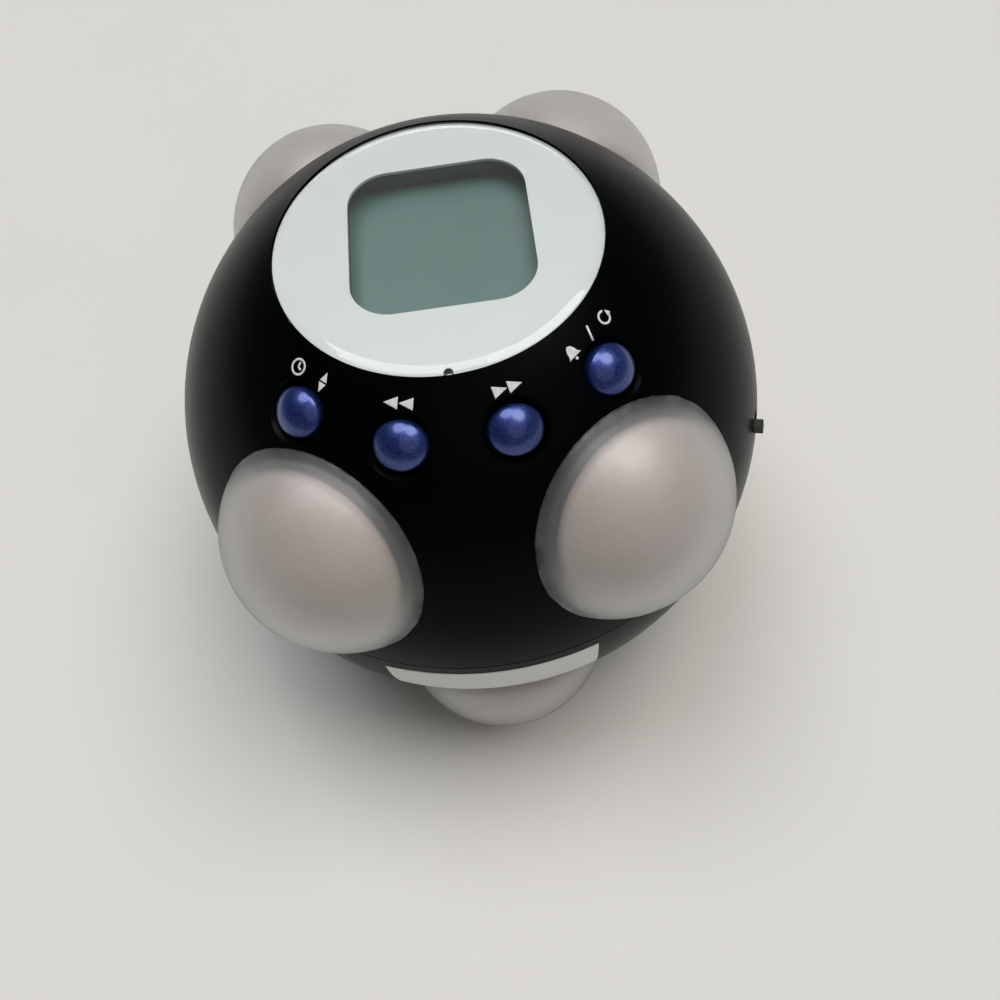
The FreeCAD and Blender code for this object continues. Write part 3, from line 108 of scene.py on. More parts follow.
class ClockColours(bpy.types.PropertyGroup):
    shell: colour_property("Shell", "Moulded black plastic of the two shells", "#020405")
    rubber: colour_property("Rubber", "Frosted silicone of the bumper domes", "#f4f6f7")
    pearl: colour_property("Pearl", "Pearly plastic cup inside each dome", "#c9b5b0")
    button: colour_property("Button", "Pearl paint of the push buttons", "#1c317a")
    face: colour_property("Face", "Silver-white print under the lens", "#dfe1e1")
    display: colour_property("Display", "Display with no segment lit", "#5c7874")
    ink: colour_property("Ink", "Printed signs", "#e8e9e7")
    paper: colour_property("Label", "Paper label", "#e9e8e4")
    floor: colour_property("Table", "Matt sheet under the clock", "#e7e5e1")


def setting_names(group):
    """The names of a group's own settings."""
    return [key for key in group.bl_rna.properties.keys() if key not in ("rna_type", "name")]


# ---------------------------------------------------------------- places

def axes_at(polar, turn):
    """The three directions of a piece that stands on the ball, as rows: x runs round the ball to the right,
    y runs up towards the display and z points out."""
    p, t = math.radians(polar), math.radians(turn)
    out = np.array((math.sin(p) * math.sin(t), -math.sin(p) * math.cos(t), math.cos(p)))
    right = np.array((math.cos(t), math.sin(t), 0.0))
    return np.array((right, np.cross(out, right), out))


UPRIGHT = np.eye(3)


def placed(points, axes=UPRIGHT):
    """Local millimetres to metres above the table: p = x * right + y * up + z * out + the ball's middle."""
    world = points @ axes
    world[..., 2] += BALL_HEIGHT
    return world * MM


def on_ball(flat, polar, turn, radius):
    """Flat marks bent onto the ball: each point of the tangent plane is drawn along the line to the ball's
    middle until it lies at that radius."""
    lifted = np.concatenate((flat, np.full((*flat.shape[:-1], 1), radius)), axis=-1)
    lifted *= radius / np.linalg.norm(lifted, axis=-1, keepdims=True)
    return placed(lifted, axes_at(polar, turn))


# ---------------------------------------------------------------- surfaces

def arc(centre, radius, start, end, steps):
    """Points (radius from the axis, height) on a circle: centre + radius * (sin a, cos a), with a in
    degrees from the axis, going from start to end."""
    a = np.radians(np.linspace(start, end, steps))
    return np.stack((centre[0] + radius * np.sin(a), centre[1] + radius * np.cos(a)), axis=-1)


def path(*parts):
    """Profile pieces, each an array of points or one point, one after another."""
    return np.concatenate([np.atleast_2d(part) for part in parts])


def lathe(profile, sides):
    """A profile turned round the axis: (r cos a, r sin a, h) for every profile point and every angle a."""
    a = np.linspace(0, 2 * math.pi, sides, endpoint=False)
    r, h = profile[:, :1], profile[:, 1:]
    return np.stack((r * np.cos(a), r * np.sin(a), np.broadcast_to(h, (len(profile), sides))), axis=-1)


def grid_faces(rows, columns, around):
    """Four corners of each cell of a grid of points, joined up to its first column if it goes around."""
    i, j = np.meshgrid(np.arange(rows - 1), np.arange(columns if around else columns - 1), indexing="ij")
    row, next_row, next_j = i * columns, (i + 1) * columns, (j + 1) % columns
    return np.stack((row + j, next_row + j, next_row + next_j, row + next_j), axis=-1).reshape(-1, 4)


def welded(parts):
    """Corners and faces of one mesh made of several grids, each given as (points, around). Equal points, as
    at a pole or a seam, become one. The faces are turned outwards: the volume that a grid's triangles span
    with the ball's middle, the sum of a . (b x c) / 6, is positive when they look away from it."""
    points, faces, offset = [], [], 0
    middle = np.array((0, 0, BALL_HEIGHT * MM))
    for grid, around in parts:
        rows, columns = grid.shape[:2]
        quads, corners = grid_faces(rows, columns, around), grid.reshape(-1, 3)
        a, b, c, d = (corners[quads[:, k]] - middle for k in range(4))
        volume = np.sum(a * (np.cross(b, c) + np.cross(c, d)))
        faces.append((quads if volume > 0 else quads[:, ::-1]) + offset)
        points.append(corners)
        offset += rows * columns
    corners, faces = np.concatenate(points), np.concatenate(faces)
    rounded = np.round(corners / WELD).astype(np.int64)
    _, first, index = np.unique(rounded, axis=0, return_index=True, return_inverse=True)
    joined = [tuple(dict.fromkeys(face)) for face in index.reshape(-1)[faces].tolist()]
    return corners[first].tolist(), [face for face in joined if len(face) > 2]


def piece_from(name, parts, body, material, stands_for=()):
    """One smooth object from several grids. It rides on a body, and may take the place of CAD nodes."""
    corners, faces = welded(parts)
    mesh = bpy.data.meshes.new(name)
    mesh.from_pydata(corners, [], faces)
    mesh.polygons.foreach_set("use_smooth", np.ones(len(mesh.polygons), bool))
    mesh.materials.append(material)
    mesh.validate()
    made = bpy.data.objects.new(name, mesh)
    bpy.context.scene.collection.objects.link(made)
    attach(made, body)
    if stands_for:
        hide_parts(*stands_for)
    return made


def dress(material, *names):
    """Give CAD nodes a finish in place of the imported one."""
    for name in names:
        slots = NODES[name].data.materials
        slots.clear()
        slots.append(material)


# ---------------------------------------------------------------- materials

def add_node(tree, kind, settings=None, **inputs):
    """Add a node. settings are its own properties. inputs are values or the sockets that feed them, each by
    its identifier or by its name with underscores for spaces."""
    made = tree.nodes.new(kind)
    for name, value in (settings or {}).items():
        setattr(made, name, value)
    by_identifier = {s.identifier: s for s in made.inputs}
    for name, value in inputs.items():
        socket = by_identifier.get(name) or made.inputs[name.replace("_", " ")]
        if isinstance(value, bpy.types.NodeSocket):
            tree.links.new(value, socket)
        else:
            socket.default_value = value
    return made


def new_material(name):
    """An empty node material: its tree, its output node and the object's own coordinates in metres."""
    material = bpy.data.materials.new(name)
    material.use_nodes = True
    tree = material.node_tree
    tree.nodes.clear()
    output = add_node(tree, "ShaderNodeOutputMaterial")
    return material, tree, output, add_node(tree, "ShaderNodeTexCoord").outputs["Object"]


def grain(tree, place, size_mm, detail=2.0):
    """Noise with blobs about that many millimetres across: its scale is one over the size in metres."""
    scale = 1 / (size_mm * MM)
    return add_node(tree, "ShaderNodeTexNoise", Vector=place, Scale=scale, Detail=detail).outputs[0]


def ranged(tree, value, low, high, source_low=0.3, source_high=0.7):
    """Stretch a value to a range from low to high. Unless its own range is given, the value is taken to be
    noise, which lies mostly between 0.3 and 0.7."""
    return add_node(tree, "ShaderNodeMapRange", Value=value, From_Min=source_low, From_Max=source_high,
                    To_Min=low, To_Max=high).outputs[0]


def bumped(tree, height, depth_mm):
    """Normals tilted by a height from 0 to 1 that stands for that many millimetres."""
    return add_node(tree, "ShaderNodeBump", Height=height, Strength=1.0, Distance=depth_mm * MM).outputs[0]


def mixed(tree, factor, first, second):
    """The first colour where the factor is 0, and the second where it is 1."""
    made = add_node(tree, "ShaderNodeMix", {"data_type": "RGBA"}, Factor_Float=factor, A_Color=first,
                    B_Color=second)
    return next(s for s in made.outputs if s.identifier == "Result_Color")


def finish_with(tree, output, shader):
    """Make a shader the surface of a material or a world."""
    tree.links.new(shader.outputs[0], output.inputs["Surface"])


def lit_through(tree, output, shader, code):
    """Let the lamps shine through a clear material: it is only a tint for the rays that look for a lamp,
    and for those that gather soft light on what is behind it."""
    tint = add_node(tree, "ShaderNodeBsdfTransparent", Color=opaque(srgb(code)))
    ray = add_node(tree, "ShaderNodeLightPath").outputs
    straight = add_node(tree, "ShaderNodeMath", {"operation": "MAXIMUM"}, Value=ray["Is Shadow Ray"],
                        Value_001=ray["Is Diffuse Ray"]).outputs[0]
    both = add_node(tree, "ShaderNodeMixShader", Fac=straight)
    tree.links.new(shader.outputs[0], both.inputs[1])
    tree.links.new(tint.outputs[0], both.inputs[2])
    finish_with(tree, output, both)


def moulded_plastic(name, colour, roughness, grain_mm=0.35, depth_mm=0.004, ior=1.54):
    """Plastic from a spark-eroded mould: the fine grain breaks up the gloss, and handling leaves slightly
    smoother patches a few centimetres wide. The grain is drawn coarser than it is, so that it shows. A
    soft-touch lacquer traps light in its skin, so it acts as if its index were lower."""
    material, tree, output, place = new_material(name)
    patches = ranged(tree, grain(tree, place, 18, detail=3.0), roughness - 0.035, roughness + 0.035)
    skin = bumped(tree, grain(tree, place, grain_mm, detail=1.0), depth_mm)
    shader = add_node(tree, "ShaderNodeBsdfPrincipled", Base_Color=opaque(colour), Roughness=patches,
                      IOR=ior, Normal=skin)
    finish_with(tree, output, shader)
    return material


def frosted_silicone(colour):
    """Frosted silicone moulded in a blasted tool: cloudy, so what is behind shows only as soft light and
    dark, with a wide dull highlight. The blasted grain is drawn coarser than it is, so that it shows. Lamps
    shine through the rubber onto the cup behind."""
    material, tree, output, place = new_material("frosted_silicone_blasted")
    clouding = ranged(tree, grain(tree, place, 9, detail=3.0), 0.38, 0.46)
    speckle = ranged(tree, grain(tree, place, 0.3, detail=1.0), 0.0, 0.5)
    tint = mixed(tree, speckle, opaque(colour), opaque(srgb("#d9d9d8")))
    skin = bumped(tree, grain(tree, place, 0.5), depth_mm=0.01)
    shader = add_node(tree, "ShaderNodeBsdfPrincipled", Base_Color=tint, Roughness=clouding, IOR=1.38,
                      Specular_IOR_Level=0.2, Transmission_Weight=0.95, Normal=skin)
    lit_through(tree, output, shader, "#f2f2f2")
    return material


def pearl_plastic(colour):
    """Styrene with mica pearl pigment: a soft satin, slow rose and tan swirls where the plastic flowed, and
    the faint speckle of the mica, drawn coarser than it is so that it shows. The clamped rim, nearer to the
    ball's middle, is black."""
    rim_end, pearl_start = 54.2 * MM, 54.6 * MM
    material, tree, output, place = new_material("pearl_styrene_moulded")
    swirl = ranged(tree, grain(tree, place, 14), 0.0, 0.7)
    pearl = mixed(tree, swirl, opaque(colour), opaque(srgb("#b5a590")))
    mica = ranged(tree, grain(tree, place, 0.5, detail=1.0), 0.0, 0.3)
    speckled = mixed(tree, mica, pearl, opaque(srgb("#d9cfce")))
    away = add_node(tree, "ShaderNodeVectorMath", {"operation": "DISTANCE"}, Vector=place,
                    Vector_001=(0, 0, BALL_HEIGHT * MM)).outputs["Value"]
    past_rim = ranged(tree, away, 0.0, 1.0, source_low=rim_end, source_high=pearl_start)
    tint = mixed(tree, past_rim, opaque(srgb("#0b0c0d")), speckled)
    shader = add_node(tree, "ShaderNodeBsdfPrincipled", Base_Color=tint, Roughness=0.42, IOR=1.59,
                      Coat_Weight=0.2, Coat_Roughness=0.35, Sheen_Weight=0.15, Sheen_Roughness=0.4)
    finish_with(tree, output, shader)
    return material


def clear_plastic(name, ior):
    """Clear plastic from a polished mould: glossy, and a little duller in patches from wear."""
    material, tree, output, place = new_material(name)
    wear = ranged(tree, grain(tree, place, 5, detail=4.0), 0.01, 0.04)
    shader = add_node(tree, "ShaderNodeBsdfPrincipled", Base_Color=opaque(srgb("#fbfdfd")), Roughness=wear,
                      IOR=ior, Transmission_Weight=1.0)
    lit_through(tree, output, shader, "#f6f8f8")
    return material


def printed_face(colour):
    """Silver-white screen print on film: an even pale coat with the faint speckle of aluminium powder,
    drawn coarser than it is so that it shows."""
    material, tree, output, place = new_material("silver_screen_print")
    flakes = ranged(tree, grain(tree, place, 0.25, detail=1.0), 0.0, 0.35)
    tint = mixed(tree, flakes, opaque(colour), opaque(srgb("#cfd2d3")))
    shader = add_node(tree, "ShaderNodeBsdfPrincipled", Base_Color=tint, Roughness=0.5, Metallic=0.1,
                      IOR=1.5)
    finish_with(tree, output, shader)
    return material


def display_glass(colour):
    """Liquid-crystal display, switched off: its polarising film is grey-green, with faint clouds."""
    material, tree, output, place = new_material("liquid_crystal_glass")
    cloud = ranged(tree, grain(tree, place, 20), 0.0, 0.3)
    tint = mixed(tree, cloud, opaque(colour), opaque(srgb("#56706b")))
    shader = add_node(tree, "ShaderNodeBsdfPrincipled", Base_Color=tint, Roughness=0.32, IOR=1.52)
    finish_with(tree, output, shader)
    return material


def pearl_paint(colour):
    """Pearl lacquer over plastic: mica flakes in the blue coat, some paler and some smoother than others,
    with a clear coat over them that gives a second, sharper highlight. The flakes are drawn wider than
    their few hundredths of a millimetre, so that they show."""
    flake_mm = 0.09
    material, tree, output, place = new_material("pearl_blue_lacquer")
    flakes = add_node(tree, "ShaderNodeTexVoronoi", Vector=place, Scale=1 / (flake_mm * MM))
    flash = add_node(tree, "ShaderNodeSeparateColor", Color=flakes.outputs["Color"]).outputs[0]
    pale = ranged(tree, flash, 0.0, 0.5, source_low=0.5, source_high=1.0)
    tint = mixed(tree, pale, opaque(colour), opaque(srgb("#5f78b8")))
    glitter = ranged(tree, flash, 0.3, 0.46, source_low=0.0, source_high=1.0)
    shader = add_node(tree, "ShaderNodeBsdfPrincipled", Base_Color=tint, Metallic=0.7, Roughness=glitter,
                      Coat_Weight=0.8, Coat_Roughness=0.16)
    finish_with(tree, output, shader)
    return material


def screen_ink(colour):
    """Pad-printed ink: a dull pale film that is a little thin in places."""
    material, tree, output, place = new_material("white_pad_ink")
    thin = ranged(tree, grain(tree, place, 0.8, detail=3.0), 0.0, 0.45, source_low=0.45, source_high=0.75)
    tint = mixed(tree, thin, opaque(colour), opaque(srgb("#a5a8a8")))
    shader = add_node(tree, "ShaderNodeBsdfPrincipled", Base_Color=tint, Roughness=0.6)
    finish_with(tree, output, shader)
    return material


def label_paper(colour):
    """Coated label paper: flat and pale, with its fibres just showing."""
    material, tree, output, place = new_material("coated_label_paper")
    fibres = grain(tree, place, 0.6, detail=4.0)
    tint = mixed(tree, ranged(tree, fibres, 0.0, 0.35), opaque(colour), opaque(srgb("#cdccc8")))
    shader = add_node(tree, "ShaderNodeBsdfPrincipled", Base_Color=tint, Roughness=0.55,
                      Normal=bumped(tree, fibres, depth_mm=0.01))
    finish_with(tree, output, shader)
    return material


def plain_metal(name, colour, roughness, speck_mm=0.3):
    """Worked metal: fine specks, in no direction, where the gloss is a little higher or lower."""
    material, tree, output, place = new_material(name)
    worn = ranged(tree, grain(tree, place, speck_mm, detail=4.0), roughness - 0.06, roughness + 0.08)
    shader = add_node(tree, "ShaderNodeBsdfPrincipled", Base_Color=opaque(colour), Metallic=1.0,
                      Roughness=worn)
    finish_with(tree, output, shader)
    return material


def pressed_silicone(colour):
    """Pressed silicone: dull, slightly dusty."""
    material, tree, output, place = new_material("grey_silicone_pressed")
    dust = ranged(tree, grain(tree, place, 1.5, detail=4.0), 0.55, 0.7)
    shader = add_node(tree, "ShaderNodeBsdfPrincipled", Base_Color=opaque(colour), Roughness=dust, IOR=1.41)
    finish_with(tree, output, shader)
    return material


def circuit_board():
    """Glass-fibre board under green solder mask: glossy, with the copper tracks as faint lighter lines
    about a millimetre apart."""
    track_mm = 1.2
    material, tree, output, place = new_material("solder_mask_board")
    tracks = add_node(tree, "ShaderNodeTexBrick", Vector=place, Scale=1 / (track_mm * MM), Mortar_Size=0.12,
                      Color1=opaque(srgb("#14532b")), Color2=opaque(srgb("#17602f")),
                      Mortar=opaque(srgb("#2b7d45"))).outputs["Color"]
    shader = add_node(tree, "ShaderNodeBsdfPrincipled", Base_Color=tracks, Roughness=0.25)
    finish_with(tree, output, shader)
    return material


# ---------------------------------------------------------------- pieces

class ClockOperator:
    """What the operators share: their menu group and the panel's settings."""
    bl_options = {"REGISTER", "UNDO"}

    @staticmethod
    def sizes(context):
        """The length settings in millimetres."""
        group = context.scene.clock_sizes
        return {key: getattr(group, key) / MM for key in setting_names(group)}

    @staticmethod
    def colours(context):
        """The colour settings."""
        return context.scene.clock_colours


class CLOCK_OT_shells(ClockOperator, bpy.types.Operator):
    """Give the two shells, the battery door and the switch their moulded black finish"""
    bl_idname = "clock.shells"
    bl_label = "Shells"

    def execute(self, context):
        black = self.colours(context).shell
        dress(moulded_plastic("black_abs_soft_touch", black, roughness=0.29, ior=1.12),
              "upper_shell", "lower_shell", "battery_door")
        dress(moulded_plastic("black_acetal_moulded", srgb("#060708"), roughness=0.45), "slide_switch_knob")
        return {"FINISHED"}


class CLOCK_OT_domes(ClockOperator, bpy.types.Operator):
    """Make the frosted bumper domes and finish the pearly cups in them"""
    bl_idname = "clock.domes"
    bl_label = "Bumper domes"

    SIDES, OUTER_STEPS, INNER_STEPS, EDGE_STEPS = 144, 72, 48, 5

    def execute(self, context):
        size = self.sizes(context)
        rubber = frosted_silicone(self.colours(context).rubber)
        for name, (polar, turn) in DOMES.items():
            points = placed(lathe(self.profile(size), self.SIDES), axes_at(polar, turn))
            points[..., 2] = np.maximum(points[..., 2], 0.0)  # flat where it stands on the table
            piece_from(f"{name}_bumper", [(points, True)], "root", rubber, (f"{name}_dome",))
        dress(pearl_plastic(self.colours(context).pearl), *(f"{name}_glow_cup" for name in DOMES))
        return {"FINISHED"}

    def profile(self, size):
        """Section of a dome from the outer top to the inner top: a circle down to the neck, a foot that
        turns in with rounded edges, and the inner circle back up, a wall's thickness inside."""
        seat, lip, lip_height, edge = 49.8, 16.0, 1.2, 0.25
        outer, neck, centre = size["dome"], size["dome_neck"], size["dome_centre"]
        inner = outer - size["dome_wall"]
        neck_angle = math.degrees(math.asin(neck / outer))
        lip_top = seat + lip_height
        inner_angle = math.degrees(math.acos((lip_top - centre) / inner))
        return path(arc((0, centre), outer, 0, neck_angle, self.OUTER_STEPS),
                    arc((neck - edge, seat + edge), edge, 90, 180, self.EDGE_STEPS),
                    arc((lip + edge, seat + edge), edge, 180, 270, self.EDGE_STEPS),
                    arc((lip + edge, lip_top - edge), edge, 270, 360, self.EDGE_STEPS),
                    arc((0, centre), inner, inner_angle, 0, self.INNER_STEPS))


class CLOCK_OT_display(ClockOperator, bpy.types.Operator):
    """Make the lens, and finish the silver face and the display behind it"""
    bl_idname = "clock.display"
    bl_label = "Display"

    LENS_BOTTOM, BEVEL, BEVEL_DROP = 46.92, 1.5, 0.4  # above the ball's middle, bevel's width and fall
    NOTCH, NOTCH_OUT = 0.75, 25.8  # radius of the notch's circle, and how far it lies from the lens's axis

    def execute(self, context):
        size, colours = self.sizes(context), self.colours(context)
        self.lens(size)
        dress(printed_face(colours.face), "dial_ring")
        dress(display_glass(colours.display), "lcd_glass")
        dress(moulded_plastic("dark_grey_frame_moulded", srgb("#4a4f4e"), roughness=0.5), "lcd_frame")
        return {"FINISHED"}

    def rim(self, radius, angles):
        """Radius of the rim at each angle: the full radius, or where a ray meets the near side of the
        notch's circle, t = d cos f - sqrt(n^2 - d^2 sin^2 f), with n the circle's radius, d how far out it
        lies and f the angle from the front."""
        off = angles + math.pi / 2
        inside = self.NOTCH ** 2 - (self.NOTCH_OUT * np.sin(off)) ** 2
        near = self.NOTCH_OUT * np.cos(off) - np.sqrt(np.maximum(inside, 0))
        return np.where((inside > 0) & (np.cos(off) > 0), near, radius)

    def angles(self):
        """Angles round the rim: close together across the notch, and even from there right round."""
        across, elsewhere, past = 25, 216, 1.02
        front, span = -math.pi / 2, math.asin(self.NOTCH / self.NOTCH_OUT)
        notch = front + span * np.sin(np.linspace(-math.pi / 2, math.pi / 2, across))
        rest = np.linspace(front + span * past, front + 2 * math.pi - span * past, elsewhere)
        return np.concatenate((notch, rest))

    def lens(self, size):
        """Rings from the underside's middle out to the rim and back over the bevel to the top's middle.
        Each edge has a ring close by on both sides, which keeps the faces flat under smooth shading."""
        a, low, top = self.angles(), self.LENS_BOTTOM, size["lens_top"]
        rim, flat = self.rim(size["lens"], a), size["lens"] - self.BEVEL
        slope = self.BEVEL_DROP / self.BEVEL
        edge, bevel_rings, shares = 0.1, 4, (0, 0.5, 0.97, 0.99, 1)
        inside, rim_top = rim - edge, top - slope * (rim - flat)
        bevel = np.linspace(edge / self.BEVEL, 1 - edge / self.BEVEL, bevel_rings)
        rings = [(share * inside, low) for share in shares]
        rings += [(rim, low + edge), (rim, low + 2 * edge)]
        rings += [(rim, rim_top - 2 * edge), (rim, rim_top - edge)]
        rings += [(rim + (flat - rim) * share, rim_top + (top - rim_top) * share) for share in bevel]
        rings += [(share * (flat - edge), top) for share in reversed(shares)]
        points = np.array([np.stack(np.broadcast_arrays(r * np.cos(a), r * np.sin(a), h), axis=-1)
                           for r, h in rings])
        acrylic = clear_plastic("clear_acrylic_moulded", ior=1.49)
        piece_from("lens", [(placed(points), True)], "root", acrylic, ("display_lens",))


class CLOCK_OT_buttons(ClockOperator, bpy.types.Operator):
    """Make the four pearl blue buttons"""
    bl_idname = "clock.buttons"
    bl_label = "Buttons"

    def execute(self, context):
        size = self.sizes(context)
        lacquer = pearl_paint(self.colours(context).button)
        for name, turn in BUTTONS.items():
            cap = placed(self.cap(size["button_width"], size["button_height"]), axes_at(BUTTON_POLAR, turn))
            piece_from(f"{name}_button_cap", [(cap, True)], f"{name}_button", lacquer, (f"{name}_button",))
        return {"FINISHED"}

    @staticmethod
    def cap(width, height):
        """Rings from the crown's top to the middle of the foot. The crown is a sphere, h = c + sqrt(s^2 -
        r^2), over ovals, r = share * (width cos a, height sin a). The shoulder turns it down into the side:
        it goes out by sin b and down by 1 - cos b + sin b, in units of its radius, for b from 0 to 90
        degrees. The flange is a round disc."""
        crown_top, sphere, shoulder = 56.3, 5.6, 0.3
        foot, flange, flange_height = 49.8, 4.9, 0.8
        sides, crown_rings, shoulder_rings = 96, 16, 7
        a = np.linspace(0, 2 * math.pi, sides, endpoint=False)
        oval = np.stack((width * np.cos(a), height * np.sin(a)), axis=-1)
        disc = flange * np.stack((np.cos(a), np.sin(a)), axis=-1)
        inner = 1 - shoulder / width

        def crown(share):
            across = share * oval
            rise = np.sqrt(sphere ** 2 - np.sum(across ** 2, axis=-1))
            return np.column_stack((across, crown_top - sphere + rise))

        def level(flat, h):
            return np.column_stack((flat, np.full(sides, h)))

        rings = [crown(share) for share in np.linspace(0, inner, crown_rings)]
        edge = rings[-1]
        for b in np.linspace(0, math.pi / 2, shoulder_rings)[1:]:
            outwards = inner + (1 - inner) * math.sin(b)
            fall = shoulder * (1 - math.cos(b) + math.sin(b))
            rings.append(np.column_stack((outwards * oval, edge[:, 2] - fall)))
        rings += [level(oval, foot + flange_height), level(disc, foot + flange_height), level(disc, foot),
                  level(0 * disc, foot)]
        return np.stack(rings)


class CLOCK_OT_signs(ClockOperator, bpy.types.Operator):
    """Print a plain sign over each button, and stick on the blank label"""
    bl_idname = "clock.signs"
    bl_label = "Signs and label"

    POLAR, FILM = 32.4, 0.03  # where the signs lie, and how thick the ink is

    def execute(self, context):
        size, colours = self.sizes(context), self.colours(context)
        self.radius, self.stroke = size["ball"] + self.FILM, size["sign_stroke"]
        ink = screen_ink(colours.ink)
        # Each sign has its own turn, and its marks lie at places to the left (-) and right of that.
        signs = {
            "set": (-43.6, self.dial(-2.6) + self.steps(2.4)),
            "back": (-14.6, self.arrows(-1)),
            "forward": (15.2, self.arrows(1)),
            "alarm": (45.0, self.bell(-4.2) + self.slash() + self.again(3.6)),
        }
        for name, (turn, marks) in signs.items():
            parts = [(on_ball(flat, self.POLAR, turn, self.radius), around) for flat, around in marks]
            made = piece_from(f"{name}_sign", parts, "root", ink)
            film = made.modifiers.new("film", "SOLIDIFY")
            film.thickness, film.offset = self.FILM * MM, -1.0
        dress(label_paper(colours.paper), "label_patch")
        return {"FINISHED"}

    def line(self, points, closed=False):
        """A stroke of even width along a path: each point moved half the width either way along the normal
        of the path there."""
        points = np.array(points, float)
        ahead, behind = np.roll(points, -1, axis=0), np.roll(points, 1, axis=0)
        if not closed:
            ahead[-1], behind[0] = points[-1], points[0]
        along = ahead - behind
        along /= np.linalg.norm(along, axis=1, keepdims=True)
        normal = np.stack((-along[:, 1], along[:, 0]), axis=-1) * self.stroke / 2
        grid = np.stack((points + normal, points, points - normal))
        return grid, closed

    @staticmethod
    def filled(outline):
        """A patch that fills an outline: every ring is the outline drawn in towards its middle."""
        rings = 5
        outline = np.array(outline, float)
        middle = outline.mean(axis=0)
        share = np.linspace(1, 0, rings)[:, None, None]
        return middle + (outline - middle) * share, True

    @staticmethod
    def round_path(x, y, radius, start=0.0, end=360.0, steps=40):
        """Points on a circle round (x, y), or on an arc of it, by degrees from the right."""
        a = np.radians(np.linspace(start, end, steps, endpoint=end - start < 360))
        return np.stack((x + radius * np.cos(a), y + radius * np.sin(a)), axis=-1)

    def dial(self, x):
        """A clock dial: a ring and two hands."""
        ring, minute, hour = 1.15, (0, 0.75), (0.6, -0.25)
        hand_points = 6
        middle, along = np.array((x, 0)), np.linspace(0, 1, hand_points)[:, None]
        return [self.line(self.round_path(x, 0, ring), closed=True),
                self.line(middle + along * minute),
                self.line(middle + along * hour)]

    def steps(self, x):
        """Two small triangles, up and down."""
        away, size = 0.65, 0.95
        return [self.filled(self.triangle(x, away * side, size, 90 * side)) for side in (1, -1)]

    @staticmethod
    def triangle(x, y, size, pointing):
        """A slim triangle with a few points along each side: its tip lies ahead of (x, y) by its size, and
        the ends of its base behind and to each side by shares of that."""
        turn, behind, aside, per_side = math.radians(pointing), -0.55, 0.66, 6
        ahead = np.array((math.cos(turn), math.sin(turn)))
        across = np.array((-ahead[1], ahead[0]))
        corners = [np.array((x, y)) + size * (a * ahead + b * across)
                   for a, b in ((1, 0), (behind, aside), (behind, -aside), (1, 0))]
        along = np.linspace(0, 1, per_side, endpoint=False)[:, None]
        return np.concatenate([p + (q - p) * along for p, q in zip(corners[:-1], corners[1:])])

    def arrows(self, side):
        """Two triangles side by side that both point left (-1) or right (1)."""
        size, away, pointing = 1.4, 1.15, 0 if side > 0 else 180
        return [self.filled(self.triangle(x, 0, size, pointing)) for x in (-away, away)]

    def bell(self, x):
        """A bell: a bowl that flares out to its mouth, the same on both sides, and the clapper below."""
        right, mouth, clapper = [(0.42, 0.88), (0.72, 0.35), (0.85, -0.3), (1.25, -0.75)], (0, -0.75), 0.24
        left = [(-across, up) for across, up in reversed(right)]
        bowl = np.array([*left, (0, 1.08), *right, mouth])
        return [self.filled(bowl + (x, 0)), self.filled(self.round_path(x, -1.1, clapper))]

    def slash(self):
        """A slanted stroke between the marks to its left and right."""
        return [self.line([(-0.45, -1.1), (0, 0), (0.45, 1.1)])]

    def again(self, x):
        """A turning arrow: most of a ring, and a triangle at its end."""
        ring, start, end = 0.95, 60, 350
        tip, size, pointing = (x + 0.98, 0.18), 0.62, 100
        return [self.line(self.round_path(x, 0, ring, start, end)),
                self.filled(self.triangle(*tip, size, pointing))]


class CLOCK_OT_works(ClockOperator, bpy.types.Operator):
    """Finish the parts inside: boards, lamps, speaker, cells, screws and the drive"""
    bl_idname = "clock.works"
    bl_label = "Works"

    def execute(self, context):
        dress(circuit_board(), "main_board", "key_board", "led_boards")
        dress(moulded_plastic("black_epoxy_moulded", srgb("#101011"), roughness=0.5),
              "controller_chip", "dome_clamp_rings", "slide_switch_body")
        dress(clear_plastic("clear_epoxy_cast", ior=1.52), "leds")
        dress(pressed_silicone(srgb("#8b8e92")),
              "lcd_connectors", *(f"{name}_rubber_key" for name in BUTTONS))
        dress(moulded_plastic("grey_abs_moulded", srgb("#55585a"), roughness=0.5),
              "battery_tray", "drive_frame")
        dress(moulded_plastic("white_acetal_moulded", srgb("#e6e5df"), roughness=0.35),
              "output_gear", "reduction_gear")
        dress(plain_metal("brass_turned", srgb("#c9a35a"), roughness=0.25), "motor_pinion")
        dress(plain_metal("steel_nickel_plated", srgb("#c3c2bd"), roughness=0.26),
              "battery_contacts", "door_screw", "case_screws", "small_screws", "gear_pin", "output_axle")
        dress(plain_metal("steel_zinc_plated", srgb("#b3b5b6"), roughness=0.32), "motor")
        dress(plain_metal("zinc_die_cast", srgb("#8e9092"), roughness=0.5, speck_mm=1.2),
              "eccentric_weight")
        dress(plain_metal("cell_sleeve_printed", srgb("#3c4a5c"), roughness=0.34, speck_mm=2.0),
              "battery_1", "battery_2", "battery_3")
        dress(moulded_plastic("speaker_paper_pressed", srgb("#141414"), roughness=0.7, grain_mm=0.8,
                              depth_mm=0.02), "speaker")
        return {"FINISHED"}


